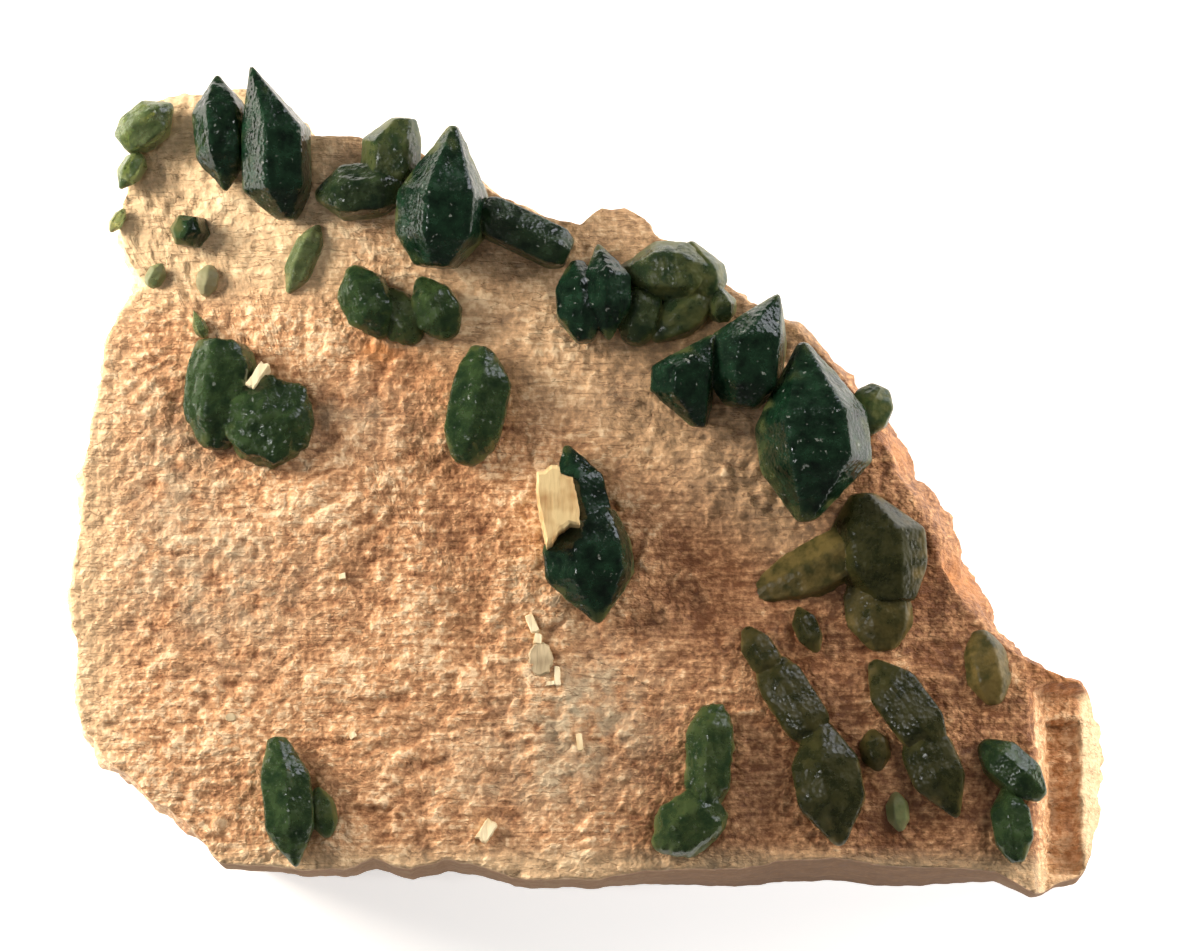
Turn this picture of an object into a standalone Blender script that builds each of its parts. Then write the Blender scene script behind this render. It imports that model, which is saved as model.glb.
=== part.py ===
"""Green fluorapatite crystals grown on a slab of pink feldspar.

The slab lies on its flat back in the XY plane, crystals up, with +Z out of the crystal face.
The origin is the centre of the footprint on the resting plane. Sizes are in millimetres and
become metres through MM. Each crystal is a hexagonal prism closed by pyramids, cut out of a
block by its own faces; crystals that grew into each other are joined to one solid.
"""

import math
import random

import bmesh
import bpy
from mathutils import Matrix, Vector, noise

MM = 0.001
GAP = 0.35  # air left between a crystal and the rock it sits on
LIFT = 0.12  # and a little more straight up, where the rock's ledges are steep

# ---------------------------------------------------------------- the slab

FOOTPRINT_CENTRE = Vector((0.355, 0.605, 0.0))  # becomes the origin when a piece is finished
SLAB_HUB = Vector((-13.5, -17.0))  # the face's cells are drawn out from here
SLAB_CELLS = 37  # cells across the crystal face, so 4 * 37 columns around it
CREST_HEIGHT = 27.0
CREST_X = -12.0
CREST_Y = -2.0
FALL_ACROSS = 0.0011  # how fast the face drops away from its crest, per mm
FALL_ALONG = 0.0004
KNOB_DROP = 2.2  # the sugary upper left corner lies lower than the face
LEDGE_PITCH = 11.0
LEDGE_HEIGHT = 0.9
LUMP_HEIGHT = 0.7
SIDE_RINGS = (0.3, 0.7, 1.0)  # depths of the side's rings, as shares of the height
SIDE_ROUGHNESS = 1.5

# The edge of the crystal face, anticlockwise from the lower right corner: x, y, how far the
# broken side bulges out below that spot, and how far its foot is drawn in again.
SLAB_OUTLINE = [
    (66.8, -52.2, 0.4, 1.6),
    (69.0, -49.0, 0.4, 1.4),
    (69.5, -42.0, 0.5, 1.4),
    (69.9, -36.5, 0.5, 1.4),
    (70.0, -31.0, 0.5, 1.4),
    (68.6, -27.6, 0.6, 1.4),
    (65.0, -26.2, 0.8, 1.6),
    (61.8, -25.0, 1.4, 1.8),
    (58.9, -23.6, 2.6, 2.0),
    (54.8, -20.4, 4.2, 2.2),
    (52.2, -17.6, 5.0, 2.4),
    (50.4, -15.0, 5.4, 2.4),
    (48.6, -11.6, 5.6, 2.4),
    (46.9, -6.5, 5.0, 2.4),
    (44.6, -1.9, 4.8, 2.4),
    (41.7, 3.3, 4.6, 2.2),
    (40.0, 6.5, 4.8, 2.2),
    (38.2, 10.6, 4.2, 2.2),
    (34.6, 15.0, 2.6, 2.0),
    (28.8, 21.4, 2.0, 2.0),
    (22.1, 24.8, 2.0, 2.0),
    (16.0, 30.0, 1.4, 2.0),
    (10.6, 33.2, 1.2, 2.0),
    (8.6, 36.0, 1.0, 1.8),
    (5.7, 37.7, 0.8, 1.8),
    (2.6, 37.4, 0.8, 1.8),
    (-0.2, 35.2, 1.0, 1.8),
    (-5.0, 36.2, 1.2, 2.0),
    (-12.5, 39.8, 1.2, 2.0),
    (-22.0, 45.4, 1.0, 2.0),
    (-30.5, 47.6, 0.6, 2.0),
    (-36.8, 47.8, 0.4, 2.0),
    (-41.3, 51.8, 0.6, 2.0),
    (-46.0, 55.0, 0.6, 2.0),
    (-52.4, 54.4, 0.6, 2.0),
    (-58.8, 53.8, 0.6, 2.0),
    (-61.2, 51.0, 0.6, 2.0),
    (-61.8, 46.5, 0.6, 2.0),
    (-62.2, 41.3, 0.6, 2.0),
    (-63.3, 36.2, 0.6, 2.0),
    (-61.9, 31.2, 0.6, 2.0),
    (-59.4, 27.6, 0.4, 2.0),
    (-62.6, 23.9, 0.6, 2.0),
    (-64.4, 20.4, 0.8, 2.0),
    (-65.0, 14.0, 0.8, 2.0),
    (-66.4, 8.0, 0.8, 2.0),
    (-67.2, 1.5, 0.8, 2.0),
    (-67.5, -4.5, 0.8, 2.0),
    (-68.2, -9.5, 0.8, 2.2),
    (-69.0, -15.0, 0.8, 2.4),
    (-68.6, -20.0, 0.8, 2.6),
    (-67.6, -23.6, 0.6, 2.8),
    (-68.1, -29.4, 0.6, 3.2),
    (-66.6, -33.8, 0.4, 3.8),
    (-64.0, -37.7, 0.2, 4.6),
    (-60.6, -39.9, 0.0, 5.0),
    (-57.7, -43.3, 0.0, 5.0),
    (-53.8, -45.9, 0.0, 5.0),
    (-51.1, -48.6, 0.0, 5.0),
    (-48.1, -52.1, 0.0, 4.6),
    (-42.6, -52.4, 0.0, 4.0),
    (-37.5, -53.2, 0.0, 3.8),
    (-31.5, -52.9, 0.0, 3.4),
    (-27.8, -51.6, 0.0, 2.4),
    (-23.0, -53.2, 0.0, 2.6),
    (-18.4, -51.6, 0.0, 2.2),
    (-13.4, -52.9, 0.0, 2.6),
    (-9.4, -54.2, 0.0, 3.0),
    (-3.0, -54.5, 0.0, 3.0),
    (2.2, -54.2, 0.0, 2.8),
    (8.6, -53.2, 0.0, 1.9),
    (15.6, -52.9, 0.0, 1.5),
    (21.2, -52.7, 0.0, 1.2),
    (27.0, -51.8, 0.0, 0.7),
    (33.5, -51.2, 0.0, 0.5),
    (39.8, -52.0, 0.0, 0.6),
    (46.4, -52.3, 0.0, 0.8),
    (51.2, -52.4, 0.0, 1.2),
    (55.5, -52.7, 0.0, 2.0),
    (60.4, -55.4, 0.0, 3.4),
    (63.2, -54.0, 0.0, 2.6),
]
FRONT_WALL_Y = -48.0  # in front of this the side is one smooth cleavage wall

# The cleavage step at the right end: the face stops at a leaning wall, and a narrow trough
# runs between that wall and an outer rib, which is bevelled outwards.
STEP = {"low": (62.6, -62.0, 14.5), "high": (78.0, -27.4, 31.0), "lean": 6.0}
TROUGH = {"low": (62.9, -52.0, 11.0), "high": (67.2, -31.2, 19.0), "lean": 0.0}
RIB_BEVEL = {"low": (70.6, -62.0, 9.0), "high": (78.0, -27.6, 20.0), "lean": 6.8}

# ---------------------------------------------------------------- the crystals

AXIAL_PLANES = 6
FLAT_RADIUS = math.cos(math.pi / AXIAL_PLANES)
SEED = 11

# One entry for each separate piece, holding the crystals that grew into each other there.
# at: centre across the slab. rise: height of the centre above the rock. size: length along
# the crystal's own axis, width, depth. turn: compass turn of the axis from +X. pitch: how far
# its head end is lifted. roll: turn about the axis. head and tail: the share of the length
# that each pyramid takes, how wide the flat is that blunts it, and how far its tip lies to the
# side and up from the axis, as shares of the half width and half depth.
CRYSTALS = {
    "corner_crystals": [
        dict(at=(-59.4, 49.9), rise=2.2, size=(9.0, 7.0, 6.5), turn=38, pitch=8, roll=20,
             head=(0.35, 0.15, 0, 0), tail=(0.3, 0.55, 0, 0)),
        dict(at=(-61.7, 43.5), rise=1.4, size=(5.8, 3.8, 4.0), turn=-118, pitch=10, roll=0,
             head=(0.4, 0.2, 0, 0), tail=(0.2, 0.5, 0, 0)),
    ],
    "rim_chip": [
        dict(at=(-63.4, 36.8), rise=0.7, size=(3.8, 2.0, 2.2), turn=60, pitch=0, roll=0,
             head=(0.3, 0.3, 0, 0), tail=(0.3, 0.3, 0, 0)),
    ],
    "button_crystal": [
        dict(at=(-53.6, 34.8), rise=1.6, size=(5.2, 5.2, 5.2), turn=200, pitch=66, roll=0,
             head=(0.3, 0.55, 0, 0), tail=(0.1, 0.9, 0, 0)),
    ],
    "pale_chip": [
        dict(at=(-58.0, 28.8), rise=0.6, size=(3.6, 2.8, 2.6), turn=60, pitch=15, roll=10,
             head=(0.3, 0.3, 0, 0), tail=(0.2, 0.6, 0, 0)),
    ],
    "pale_bud": [
        dict(at=(-50.9, 27.8), rise=0.6, size=(4.4, 3.6, 3.0), turn=80, pitch=0, roll=30,
             head=(0.3, 0.4, 0, 0), tail=(0.3, 0.4, 0, 0)),
    ],
    "pale_blade": [
        dict(at=(-37.8, 30.4), rise=0.5, size=(10.4, 4.2, 4.0), turn=66, pitch=3, roll=15,
             head=(0.25, 0.2, 0, 0), tail=(0.3, 0.2, 0, 0)),
    ],
    "summit_crystals": [
        dict(at=(-49.2, 48.0), rise=3.4, size=(16.6, 8.2, 8.0), turn=95, pitch=4, roll=8,
             head=(0.3, 0.1, 0, 0), tail=(0.3, 0.1, 0, 0)),
        dict(at=(-41.5, 46.2), rise=4.0, size=(21.4, 10.2, 10.5), turn=91, pitch=8, roll=14,
             head=(0.42, 0.06, 0.68, 0.1), tail=(0.18, 0.35, -0.25, 0)),
    ],
    "upper_ridge_crystals": [
        dict(at=(-30.2, 39.2), rise=2.6, size=(12.2, 8.2, 8.0), turn=4, pitch=3, roll=24,
             head=(0.25, 0.5, 0, 0), tail=(0.3, 0.25, 0, 0)),
        dict(at=(-25.9, 44.3), rise=3.2, size=(10.0, 8.6, 8.0), turn=86, pitch=18, roll=0,
             head=(0.3, 0.45, -0.3, 0), tail=(0.25, 0.6, 0, 0)),
        dict(at=(-18.7, 37.8), rise=5.0, size=(19.3, 13.4, 12.0), turn=86, pitch=9, roll=12,
             head=(0.48, 0.16, -0.1, 0), tail=(0.22, 0.5, 0.05, 0)),
        dict(at=(-7.7, 33.2), rise=2.6, size=(13.2, 6.8, 7.2), turn=-25, pitch=-4, roll=30,
             head=(0.12, 0.7, 0, 0), tail=(0.1, 0.8, 0, 0)),
    ],
    "middle_ridge_crystals": [
        dict(at=(-0.2, 23.7), rise=2.6, size=(11.4, 7.8, 6.8), turn=96, pitch=0, roll=30,
             head=(0.3, 0.3, 0, 0), tail=(0.3, 0.4, 0, 0)),
        dict(at=(3.4, 24.9), rise=3.2, size=(13.6, 7.6, 7.6), turn=88, pitch=0, roll=30,
             head=(0.34, 0.12, 0.4, 0), tail=(0.34, 0.1, -0.1, 0)),
        dict(at=(10.9, 28.1), rise=2.6, size=(13.2, 8.8, 7.6), turn=-3, pitch=5, roll=10,
             head=(0.25, 0.45, 0, 0), tail=(0.42, 0.15, -0.1, 0)),
        dict(at=(16.3, 28.0), rise=2.4, size=(9.0, 6.6, 6.4), turn=104, pitch=8, roll=0,
             head=(0.45, 0.2, 0.2, 0), tail=(0.3, 0.3, 0, 0)),
        dict(at=(7.8, 22.2), rise=1.4, size=(8.6, 6.6, 6.0), turn=76, pitch=0, roll=18,
             head=(0.25, 0.5, 0, 0), tail=(0.25, 0.5, 0, 0)),
        dict(at=(13.8, 22.6), rise=1.4, size=(11.6, 6.4, 5.4), turn=42, pitch=0, roll=25,
             head=(0.35, 0.3, 0, 0), tail=(0.35, 0.3, 0, 0)),
        dict(at=(18.8, 24.1), rise=2.2, size=(5.6, 4.4, 4.8), turn=92, pitch=24, roll=8,
             head=(0.5, 0.05, 0.3, 0), tail=(0.2, 0.6, 0, 0)),
    ],
    "lower_ridge_crystals": [
        dict(at=(13.6, 12.8), rise=3.6, size=(12.6, 9.8, 8.6), turn=86, pitch=12, roll=20,
             head=(0.38, 0.12, -0.75, 0.1), tail=(0.34, 0.3, -0.5, 0)),
        dict(at=(22.4, 17.1), rise=3.8, size=(16.0, 11.6, 10.4), turn=82, pitch=8, roll=20,
             head=(0.42, 0.1, -0.5, 0), tail=(0.2, 0.5, 0, 0)),
        dict(at=(31.0, 5.8), rise=4.4, size=(24.2, 16.0, 13.0), turn=97, pitch=4, roll=2,
             head=(0.42, 0.14, 0, 0), tail=(0.3, 0.2, 0.3, 0)),
        dict(at=(38.8, 9.2), rise=2.0, size=(7.4, 6.6, 5.4), turn=66, pitch=4, roll=30,
             head=(0.25, 0.5, 0, 0), tail=(0.35, 0.3, 0, 0)),
    ],
    "green_pair": [
        dict(at=(-28.9, 23.9), rise=1.7, size=(10.8, 8.0, 7.4), turn=114, pitch=6, roll=16,
             head=(0.3, 0.3, 0, 0), tail=(0.3, 0.3, 0, 0)),
        dict(at=(-19.9, 23.2), rise=1.2, size=(9.6, 7.6, 6.2), turn=118, pitch=4, roll=22,
             head=(0.35, 0.2, 0, 0), tail=(0.3, 0.4, 0, 0)),
        dict(at=(-24.6, 21.9), rise=0.7, size=(8.4, 7.0, 5.0), turn=124, pitch=2, roll=14,
             head=(0.3, 0.5, 0, 0), tail=(0.3, 0.4, 0, 0)),
    ],
    "spike": [
        dict(at=(-51.9, 21.5), rise=0.8, size=(4.2, 2.0, 2.6), turn=112, pitch=5, roll=0,
             head=(0.5, 0.05, 0, 0), tail=(0.2, 0.5, 0, 0)),
    ],
    "left_crystals": [
        dict(at=(-48.9, 11.3), rise=1.3, size=(14.8, 10.6, 7.2), turn=84, pitch=6, roll=12,
             head=(0.2, 0.7, 0.1, 0), tail=(0.3, 0.4, 0, 0)),
        dict(at=(-42.0, 7.7), rise=1.2, size=(11.8, 13.6, 6.6), turn=-20, pitch=-6, roll=25,
             head=(0.25, 0.4, 0, 0), tail=(0.3, 0.5, 0, 0)),
    ],
    "rounded_crystal": [
        dict(at=(-14.1, 9.3), rise=1.6, size=(16.4, 9.6, 7.8), turn=79, pitch=2, roll=30,
             head=(0.26, 0.42, 0.2, 0), tail=(0.26, 0.4, 0, 0)),
    ],
    "centre_crystals": [
        dict(at=(0.3, -4.2), rise=1.8, size=(17.0, 8.4, 7.0), turn=104, pitch=2, roll=30,
             head=(0.34, 0.12, 0.1, 0), tail=(0.25, 0.4, 0, 0)),
        dict(at=(1.0, -12.8), rise=2.2, size=(15.4, 13.2, 8.6), turn=95, pitch=3, roll=14,
             head=(0.3, 0.5, -0.2, 0), tail=(0.42, 0.1, -0.1, 0)),
    ],
    "olive_crystals": [
        dict(at=(39.7, -9.4), rise=1.3, size=(15.0, 13.8, 7.4), turn=-86, pitch=-3, roll=4,
             head=(0.3, 0.5, 0.2, 0), tail=(0.34, 0.3, -0.2, 0)),
        dict(at=(30.9, -12.4), rise=0.3, size=(18.0, 8.4, 4.6), turn=29, pitch=3, roll=20,
             head=(0.2, 0.6, 0, 0), tail=(0.42, 0.4, 0.2, 0)),
        dict(at=(39.9, -17.4), rise=0.3, size=(12.0, 10.2, 4.4), turn=96, pitch=0, roll=14,
             head=(0.25, 0.6, 0, 0), tail=(0.3, 0.4, 0, 0)),
    ],
    "upper_green_chip": [
        dict(at=(30.2, -20.6), rise=0.4, size=(6.8, 3.9, 3.4), turn=112, pitch=0, roll=20,
             head=(0.3, 0.2, 0, 0), tail=(0.3, 0.3, 0, 0)),
    ],
    "leaf_crystals": [
        dict(at=(24.0, -24.0), rise=0.5, size=(8.4, 5.0, 4.2), turn=122, pitch=0, roll=20,
             head=(0.3, 0.3, 0, 0), tail=(0.3, 0.3, 0, 0)),
        dict(at=(28.2, -30.4), rise=0.6, size=(15.4, 7.6, 5.2), turn=122, pitch=0, roll=28,
             head=(0.25, 0.4, 0, 0), tail=(0.25, 0.4, 0, 0)),
        dict(at=(32.9, -41.2), rise=1.3, size=(17.8, 11.4, 7.6), turn=100, pitch=2, roll=26,
             head=(0.36, 0.22, 0, 0), tail=(0.36, 0.16, 0, 0)),
    ],
    "long_blade_crystals": [
        dict(at=(43.4, -30.9), rise=1.0, size=(15.4, 8.2, 6.0), turn=126, pitch=0, roll=26,
             head=(0.3, 0.24, 0, 0), tail=(0.25, 0.4, 0, 0)),
        dict(at=(47.2, -39.0), rise=1.0, size=(15.2, 8.4, 5.8), turn=113, pitch=0, roll=24,
             head=(0.3, 0.35, 0, 0), tail=(0.36, 0.14, 0, 0)),
    ],
    "dark_chip": [
        dict(at=(39.2, -36.8), rise=0.4, size=(5.8, 4.6, 4.0), turn=100, pitch=0, roll=10,
             head=(0.3, 0.3, 0, 0), tail=(0.3, 0.3, 0, 0)),
    ],
    "olive_chip": [
        dict(at=(42.2, -45.0), rise=0.3, size=(5.4, 3.4, 2.6), turn=96, pitch=0, roll=10,
             head=(0.3, 0.3, 0, 0), tail=(0.3, 0.3, 0, 0)),
    ],
    "sunken_crystal": [
        dict(at=(54.4, -25.2), rise=0.1, size=(10.4, 6.8, 4.4), turn=102, pitch=0, roll=0,
             head=(0.3, 0.4, 0, 0), tail=(0.3, 0.4, 0, 0)),
    ],
    "right_edge_crystals": [
        dict(at=(57.6, -39.2), rise=1.2, size=(11.2, 6.8, 5.8), turn=-42, pitch=0, roll=24,
             head=(0.3, 0.3, 0, 0), tail=(0.3, 0.3, 0, 0)),
        dict(at=(57.5, -46.6), rise=1.2, size=(10.4, 6.4, 5.8), turn=98, pitch=0, roll=26,
             head=(0.3, 0.3, 0, 0), tail=(0.3, 0.35, 0, 0)),
    ],
    "frosted_crystals": [
        dict(at=(17.0, -38.2), rise=1.2, size=(14.2, 7.0, 5.8), turn=86, pitch=2, roll=22,
             head=(0.2, 0.5, 0, 0), tail=(0.2, 0.6, 0, 0)),
        dict(at=(14.0, -47.4), rise=1.2, size=(10.8, 9.0, 5.8), turn=34, pitch=0, roll=18,
             head=(0.25, 0.5, 0, 0), tail=(0.3, 0.3, 0, 0)),
    ],
    "spindle_crystals": [
        dict(at=(-39.2, -44.4), rise=1.5, size=(17.8, 7.9, 7.2), turn=96, pitch=2, roll=30,
             head=(0.3, 0.4, 0.15, 0), tail=(0.3, 0.12, -0.1, 0)),
        dict(at=(-34.6, -45.6), rise=0.6, size=(7.0, 4.2, 3.6), turn=102, pitch=0, roll=10,
             head=(0.3, 0.3, 0, 0), tail=(0.3, 0.3, 0, 0)),
    ],
}

# A cream cleavage blade of feldspar stands against the left flank of the centre crystals.
BLADE = {"at": (-3.2, -4.9), "rise": 3.4, "size": (5.4, 8.6, 8.0), "tilt": 8, "turn": 5}
BLADE_NEIGHBOURS = ("centre_crystals", "centre_crystals_2")

MATERIALS = {
    "feldspar": dict(colour=(0.62, 0.36, 0.19, 1.0), roughness=0.75),
    "apatite": dict(colour=(0.01, 0.06, 0.03, 1.0), roughness=0.2),
    "cream_feldspar": dict(colour=(0.70, 0.55, 0.34, 1.0), roughness=0.6),
}


def clear_scene():
    for obj in list(bpy.data.objects):
        bpy.data.objects.remove(obj, do_unlink=True)


def new_collection(name):
    collection = bpy.data.collections.new(name)
    bpy.context.scene.collection.children.link(collection)
    return collection


def new_material(name, colour, roughness):
    material = bpy.data.materials.new(name)
    material.use_nodes = True
    shader = material.node_tree.nodes["Principled BSDF"]
    shader.inputs["Base Color"].default_value = colour
    shader.inputs["Roughness"].default_value = roughness
    shader.inputs["Metallic"].default_value = 0.0
    return material


def add_object(name, bm, collection, material=None):
    """Turns a bmesh drawn in millimetres into an object in metres about the origin."""
    bmesh.ops.recalc_face_normals(bm, faces=bm.faces)
    bmesh.ops.translate(bm, vec=-FOOTPRINT_CENTRE, verts=bm.verts)
    bmesh.ops.scale(bm, vec=(MM, MM, MM), verts=bm.verts)
    mesh = bpy.data.meshes.new(name)
    bm.to_mesh(mesh)
    bm.free()
    obj = bpy.data.objects.new(name, mesh)
    collection.objects.link(obj)
    if material:
        mesh.materials.append(material)
    return obj


def hide_helper(obj):
    obj.hide_render = True
    obj.display_type = "WIRE"


def add_boolean(obj, other, operation):
    modifier = obj.modifiers.new(operation.title(), "BOOLEAN")
    modifier.operation = operation
    modifier.object = other


# ---------------------------------------------------------------- building the slab


def smooth_step(value, low, high):
    share = min(max((value - low) / (high - low), 0.0), 1.0)
    return share * share * (3.0 - 2.0 * share)


def face_height(x, y):
    """Height of the crystal face, without its lumps and ledges."""
    height = CREST_HEIGHT - FALL_ACROSS * (x - CREST_X) ** 2 - FALL_ALONG * (y - CREST_Y) ** 2
    knob = (1.0 - smooth_step(x, -56.0, -30.0)) * smooth_step(y, 18.0, 34.0)
    return height - KNOB_DROP * knob


def face_relief(x, y):
    """Lumps, and stepped cleavage that rises at once and then falls slowly towards +X."""
    lumps = noise.fractal(Vector((x, y, 7.0)) / 9.0, 1.0, 2.0, 3)
    phase = (x - 0.35 * y) / LEDGE_PITCH + 3.0 * noise.noise(Vector((x, y, 0.0)) / 19.0)
    ledged = smooth_step(x, -60.0, -45.0) * (1.0 - smooth_step(x, 5.0, 30.0))
    return LUMP_HEIGHT * lumps + LEDGE_HEIGHT * ledged * (0.5 - (phase - math.floor(phase)))


def spread_columns():
    """Shares the columns out along the outline so that its corners fall on columns."""
    ends = SLAB_OUTLINE[1:] + SLAB_OUTLINE[:1]
    lengths = [math.dist(start[:2], end[:2]) for start, end in zip(SLAB_OUTLINE, ends)]
    total = 4 * SLAB_CELLS / sum(lengths)
    marks = [round(total * sum(lengths[:k])) for k in range(len(lengths) + 1)]
    columns = []
    for start, end, first, last in zip(SLAB_OUTLINE, ends, marks, marks[1:]):
        for step in range(last - first):
            columns.append(Vector(start).lerp(Vector(end), step / (last - first)))
    return columns


def column_at(columns, turn):
    place = turn * len(columns)
    low = int(place)
    return columns[low % len(columns)].lerp(columns[(low + 1) % len(columns)], place - low)


def turn_around_square(x, y):
    """How far round the square a point lies, from its lower right corner, as a share."""
    share = max(abs(x), abs(y)) or 1.0
    u, v = x / share, y / share
    if u > 0.9999:
        return (1.0 + v) / 8.0
    if v > 0.9999:
        return (3.0 - u) / 8.0
    if u < -0.9999:
        return (5.0 - v) / 8.0
    return (7.0 + u) / 8.0 if v < -0.9999 else 0.0


def side_ring(bm, columns, rim, depth):
    """One ring of the broken side, at a share of the height below the face's edge."""
    ring = []
    for k, top in enumerate(rim):
        along = columns[(k + 1) % len(columns)].xy - columns[k - 1].xy
        outward = Vector((along.y, -along.x)).normalized()
        bulge, inset = columns[k][2:]
        reach = bulge * math.sin(0.5 * math.pi * min(depth / 0.7, 1.0)) - inset * depth ** 2
        if depth < 1.0 and top.co.y > FRONT_WALL_Y:
            spot = Vector((top.co.x, top.co.y, 40.0 * depth)) / 6.0
            reach += SIDE_ROUGHNESS * noise.noise(spot)
        place = top.co.xy + outward * reach
        ring.append(bm.verts.new((place.x, place.y, top.co.z * (1.0 - depth))))
    return ring


def build_slab_mesh():
    """A grid drawn out to the slab's outline, lofted down to a flat foot and closed there."""
    bm = bmesh.new()
    bmesh.ops.create_grid(bm, x_segments=SLAB_CELLS, y_segments=SLAB_CELLS, size=1.0)
    columns = spread_columns()
    border = {}
    for vert in bm.verts:
        share = max(abs(vert.co.x), abs(vert.co.y))
        turn = turn_around_square(vert.co.x, vert.co.y)
        spot = SLAB_HUB.lerp(column_at(columns, turn).xy, share)
        if vert.is_boundary:
            border[round(turn * len(columns)) % len(columns)] = vert
        vert.co = (spot.x, spot.y, face_height(*spot) + face_relief(*spot))
    rim = [border[k] for k in range(len(columns))]
    upper = rim
    for depth in SIDE_RINGS:
        lower = side_ring(bm, columns, rim, depth)
        for k in range(len(rim)):
            bm.faces.new((upper[k - 1], lower[k - 1], lower[k], upper[k]))
        upper = lower
    bm.faces.new(upper)
    return bm


def add_cutter_box(name, cutters, low, high, lean):
    """A box whose west wall leans outwards towards its top."""
    bm = bmesh.new()
    bmesh.ops.create_cube(bm, size=1.0)
    low, high = Vector(low), Vector(high)
    bmesh.ops.scale(bm, vec=high - low, verts=bm.verts)
    bmesh.ops.translate(bm, vec=(low + high) / 2.0, verts=bm.verts)
    for vert in bm.verts:
        if vert.co.x < high.x and vert.co.z > low.z:
            vert.co.x -= lean
    box = add_object(name, bm, cutters)
    hide_helper(box)
    return box


def build_matrix(collection, cutters, material):
    slab = add_object("matrix", build_slab_mesh(), collection, material)
    add_boolean(slab, add_cutter_box("step_cutter", cutters, **STEP), "DIFFERENCE")
    add_boolean(slab, add_cutter_box("trough_cutter", cutters, **TROUGH), "DIFFERENCE")
    add_boolean(slab, add_cutter_box("rib_cutter", cutters, **RIB_BEVEL), "DIFFERENCE")
    return slab


def finished_mesh(obj):
    """The object's mesh with its Booleans applied."""
    bpy.context.view_layer.update()
    graph = bpy.context.evaluated_depsgraph_get()
    return bpy.data.meshes.new_from_object(obj.evaluated_get(graph))


def grown_copy(obj, mesh, cutters):
    """A mesh of this piece grown by GAP, to cut a neighbour so that it fits without touching."""
    clearance = bpy.data.objects.new(f"{obj.name}_clearance", mesh)
    clearance.location.z = LIFT * MM
    cutters.objects.link(clearance)
    grow = clearance.modifiers.new("Grow", "DISPLACE")
    grow.strength = GAP * MM
    grow.mid_level = 0.0
    hide_helper(clearance)
    return clearance


# ---------------------------------------------------------------- building the crystals


def cut_with_plane(bm, normal, distance):
    """Keeps what lies behind the plane and closes the cut."""
    geometry = bm.verts[:] + bm.edges[:] + bm.faces[:]
    normal = Vector(normal).normalized()
    cut = bmesh.ops.bisect_plane(
        bm, geom=geometry, plane_co=normal * distance, plane_no=normal, clear_outer=True, dist=1e-6
    )
    edges = [item for item in cut["geom_cut"] if isinstance(item, bmesh.types.BMEdge)]
    if edges:
        bmesh.ops.contextual_create(bm, geom=edges)


def crystal_mesh(spec, chance):
    """A hexagonal prism with a pyramid at each end, its faces grown to uneven distances."""
    bm = bmesh.new()
    bmesh.ops.create_cube(bm, size=2.6)
    for k in range(AXIAL_PLANES):
        angle = (k + 0.5) * math.tau / AXIAL_PLANES + math.radians(spec["roll"])
        around = Vector((0.0, math.cos(angle), math.sin(angle)))
        edge = Vector((0.0, -math.sin(angle), math.cos(angle)))
        cut_with_plane(bm, around, FLAT_RADIUS * chance.uniform(0.9, 1.0))
        for sign, (share, flat, across, up) in ((1.0, spec["head"]), (-1.0, spec["tail"])):
            shoulder = Vector((sign * (1.0 - 2.0 * share), 0.0, 0.0)) + around * FLAT_RADIUS
            rim = Vector((sign, across, up)) + around * FLAT_RADIUS * flat
            slope = sign * edge.cross(rim - shoulder).normalized()
            cut_with_plane(bm, slope, slope.dot(shoulder) * chance.uniform(0.94, 1.0))
    for sign in (1.0, -1.0):
        cut_with_plane(bm, (sign, 0.0, 0.0), 1.0)
    x, y = spec["at"]
    place = Matrix.Translation((x, y, face_height(x, y) + spec["rise"]))
    turn = Matrix.Rotation(math.radians(spec["turn"]), 4, "Z")
    pitch = Matrix.Rotation(-math.radians(spec["pitch"]), 4, "Y")
    size = Matrix.Diagonal((*(Vector(spec["size"]) / 2.0), 1.0))
    bmesh.ops.transform(bm, matrix=place @ turn @ pitch @ size, verts=bm.verts)
    return bm


def build_crystals(collection, cutters, rock, material):
    chance = random.Random(SEED)
    for name, members in CRYSTALS.items():
        node = add_object(name, crystal_mesh(members[0], chance), collection, material)
        for number, spec in enumerate(members[1:], start=2):
            helper = add_object(f"{name}_{number}", crystal_mesh(spec, chance), cutters)
            hide_helper(helper)
            add_boolean(node, helper, "UNION")
        add_boolean(node, rock, "DIFFERENCE")


def build_blade(collection, obstacles, material):
    bm = bmesh.new()
    bmesh.ops.create_cube(bm, size=1.0)
    bmesh.ops.scale(bm, vec=BLADE["size"], verts=bm.verts)
    x, y = BLADE["at"]
    place = Matrix.Translation((x, y, face_height(x, y) + BLADE["rise"]))
    turn = Matrix.Rotation(math.radians(BLADE["turn"]), 4, "Z")
    tilt = Matrix.Rotation(math.radians(BLADE["tilt"]), 4, "Y")
    bmesh.ops.transform(bm, matrix=place @ turn @ tilt, verts=bm.verts)
    blade = add_object("feldspar_blade", bm, collection, material)
    for obstacle in obstacles:
        add_boolean(blade, obstacle, "DIFFERENCE")


def main():
    clear_scene()
    collection = new_collection("fluorapatite_on_matrix")
    cutters = new_collection("cutters")
    materials = {name: new_material(name, **look) for name, look in MATERIALS.items()}
    slab = build_matrix(collection, cutters, materials["feldspar"])
    rock = grown_copy(slab, finished_mesh(slab), cutters)
    build_crystals(collection, cutters, rock, materials["apatite"])
    crystals = [bpy.data.objects[name] for name in BLADE_NEIGHBOURS]
    flanks = [grown_copy(crystal, crystal.data.copy(), cutters) for crystal in crystals]
    build_blade(collection, [rock] + flanks, materials["cream_feldspar"])


main()
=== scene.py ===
import math
import random

import bpy
import numpy as np
from mathutils import Matrix, kdtree


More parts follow.
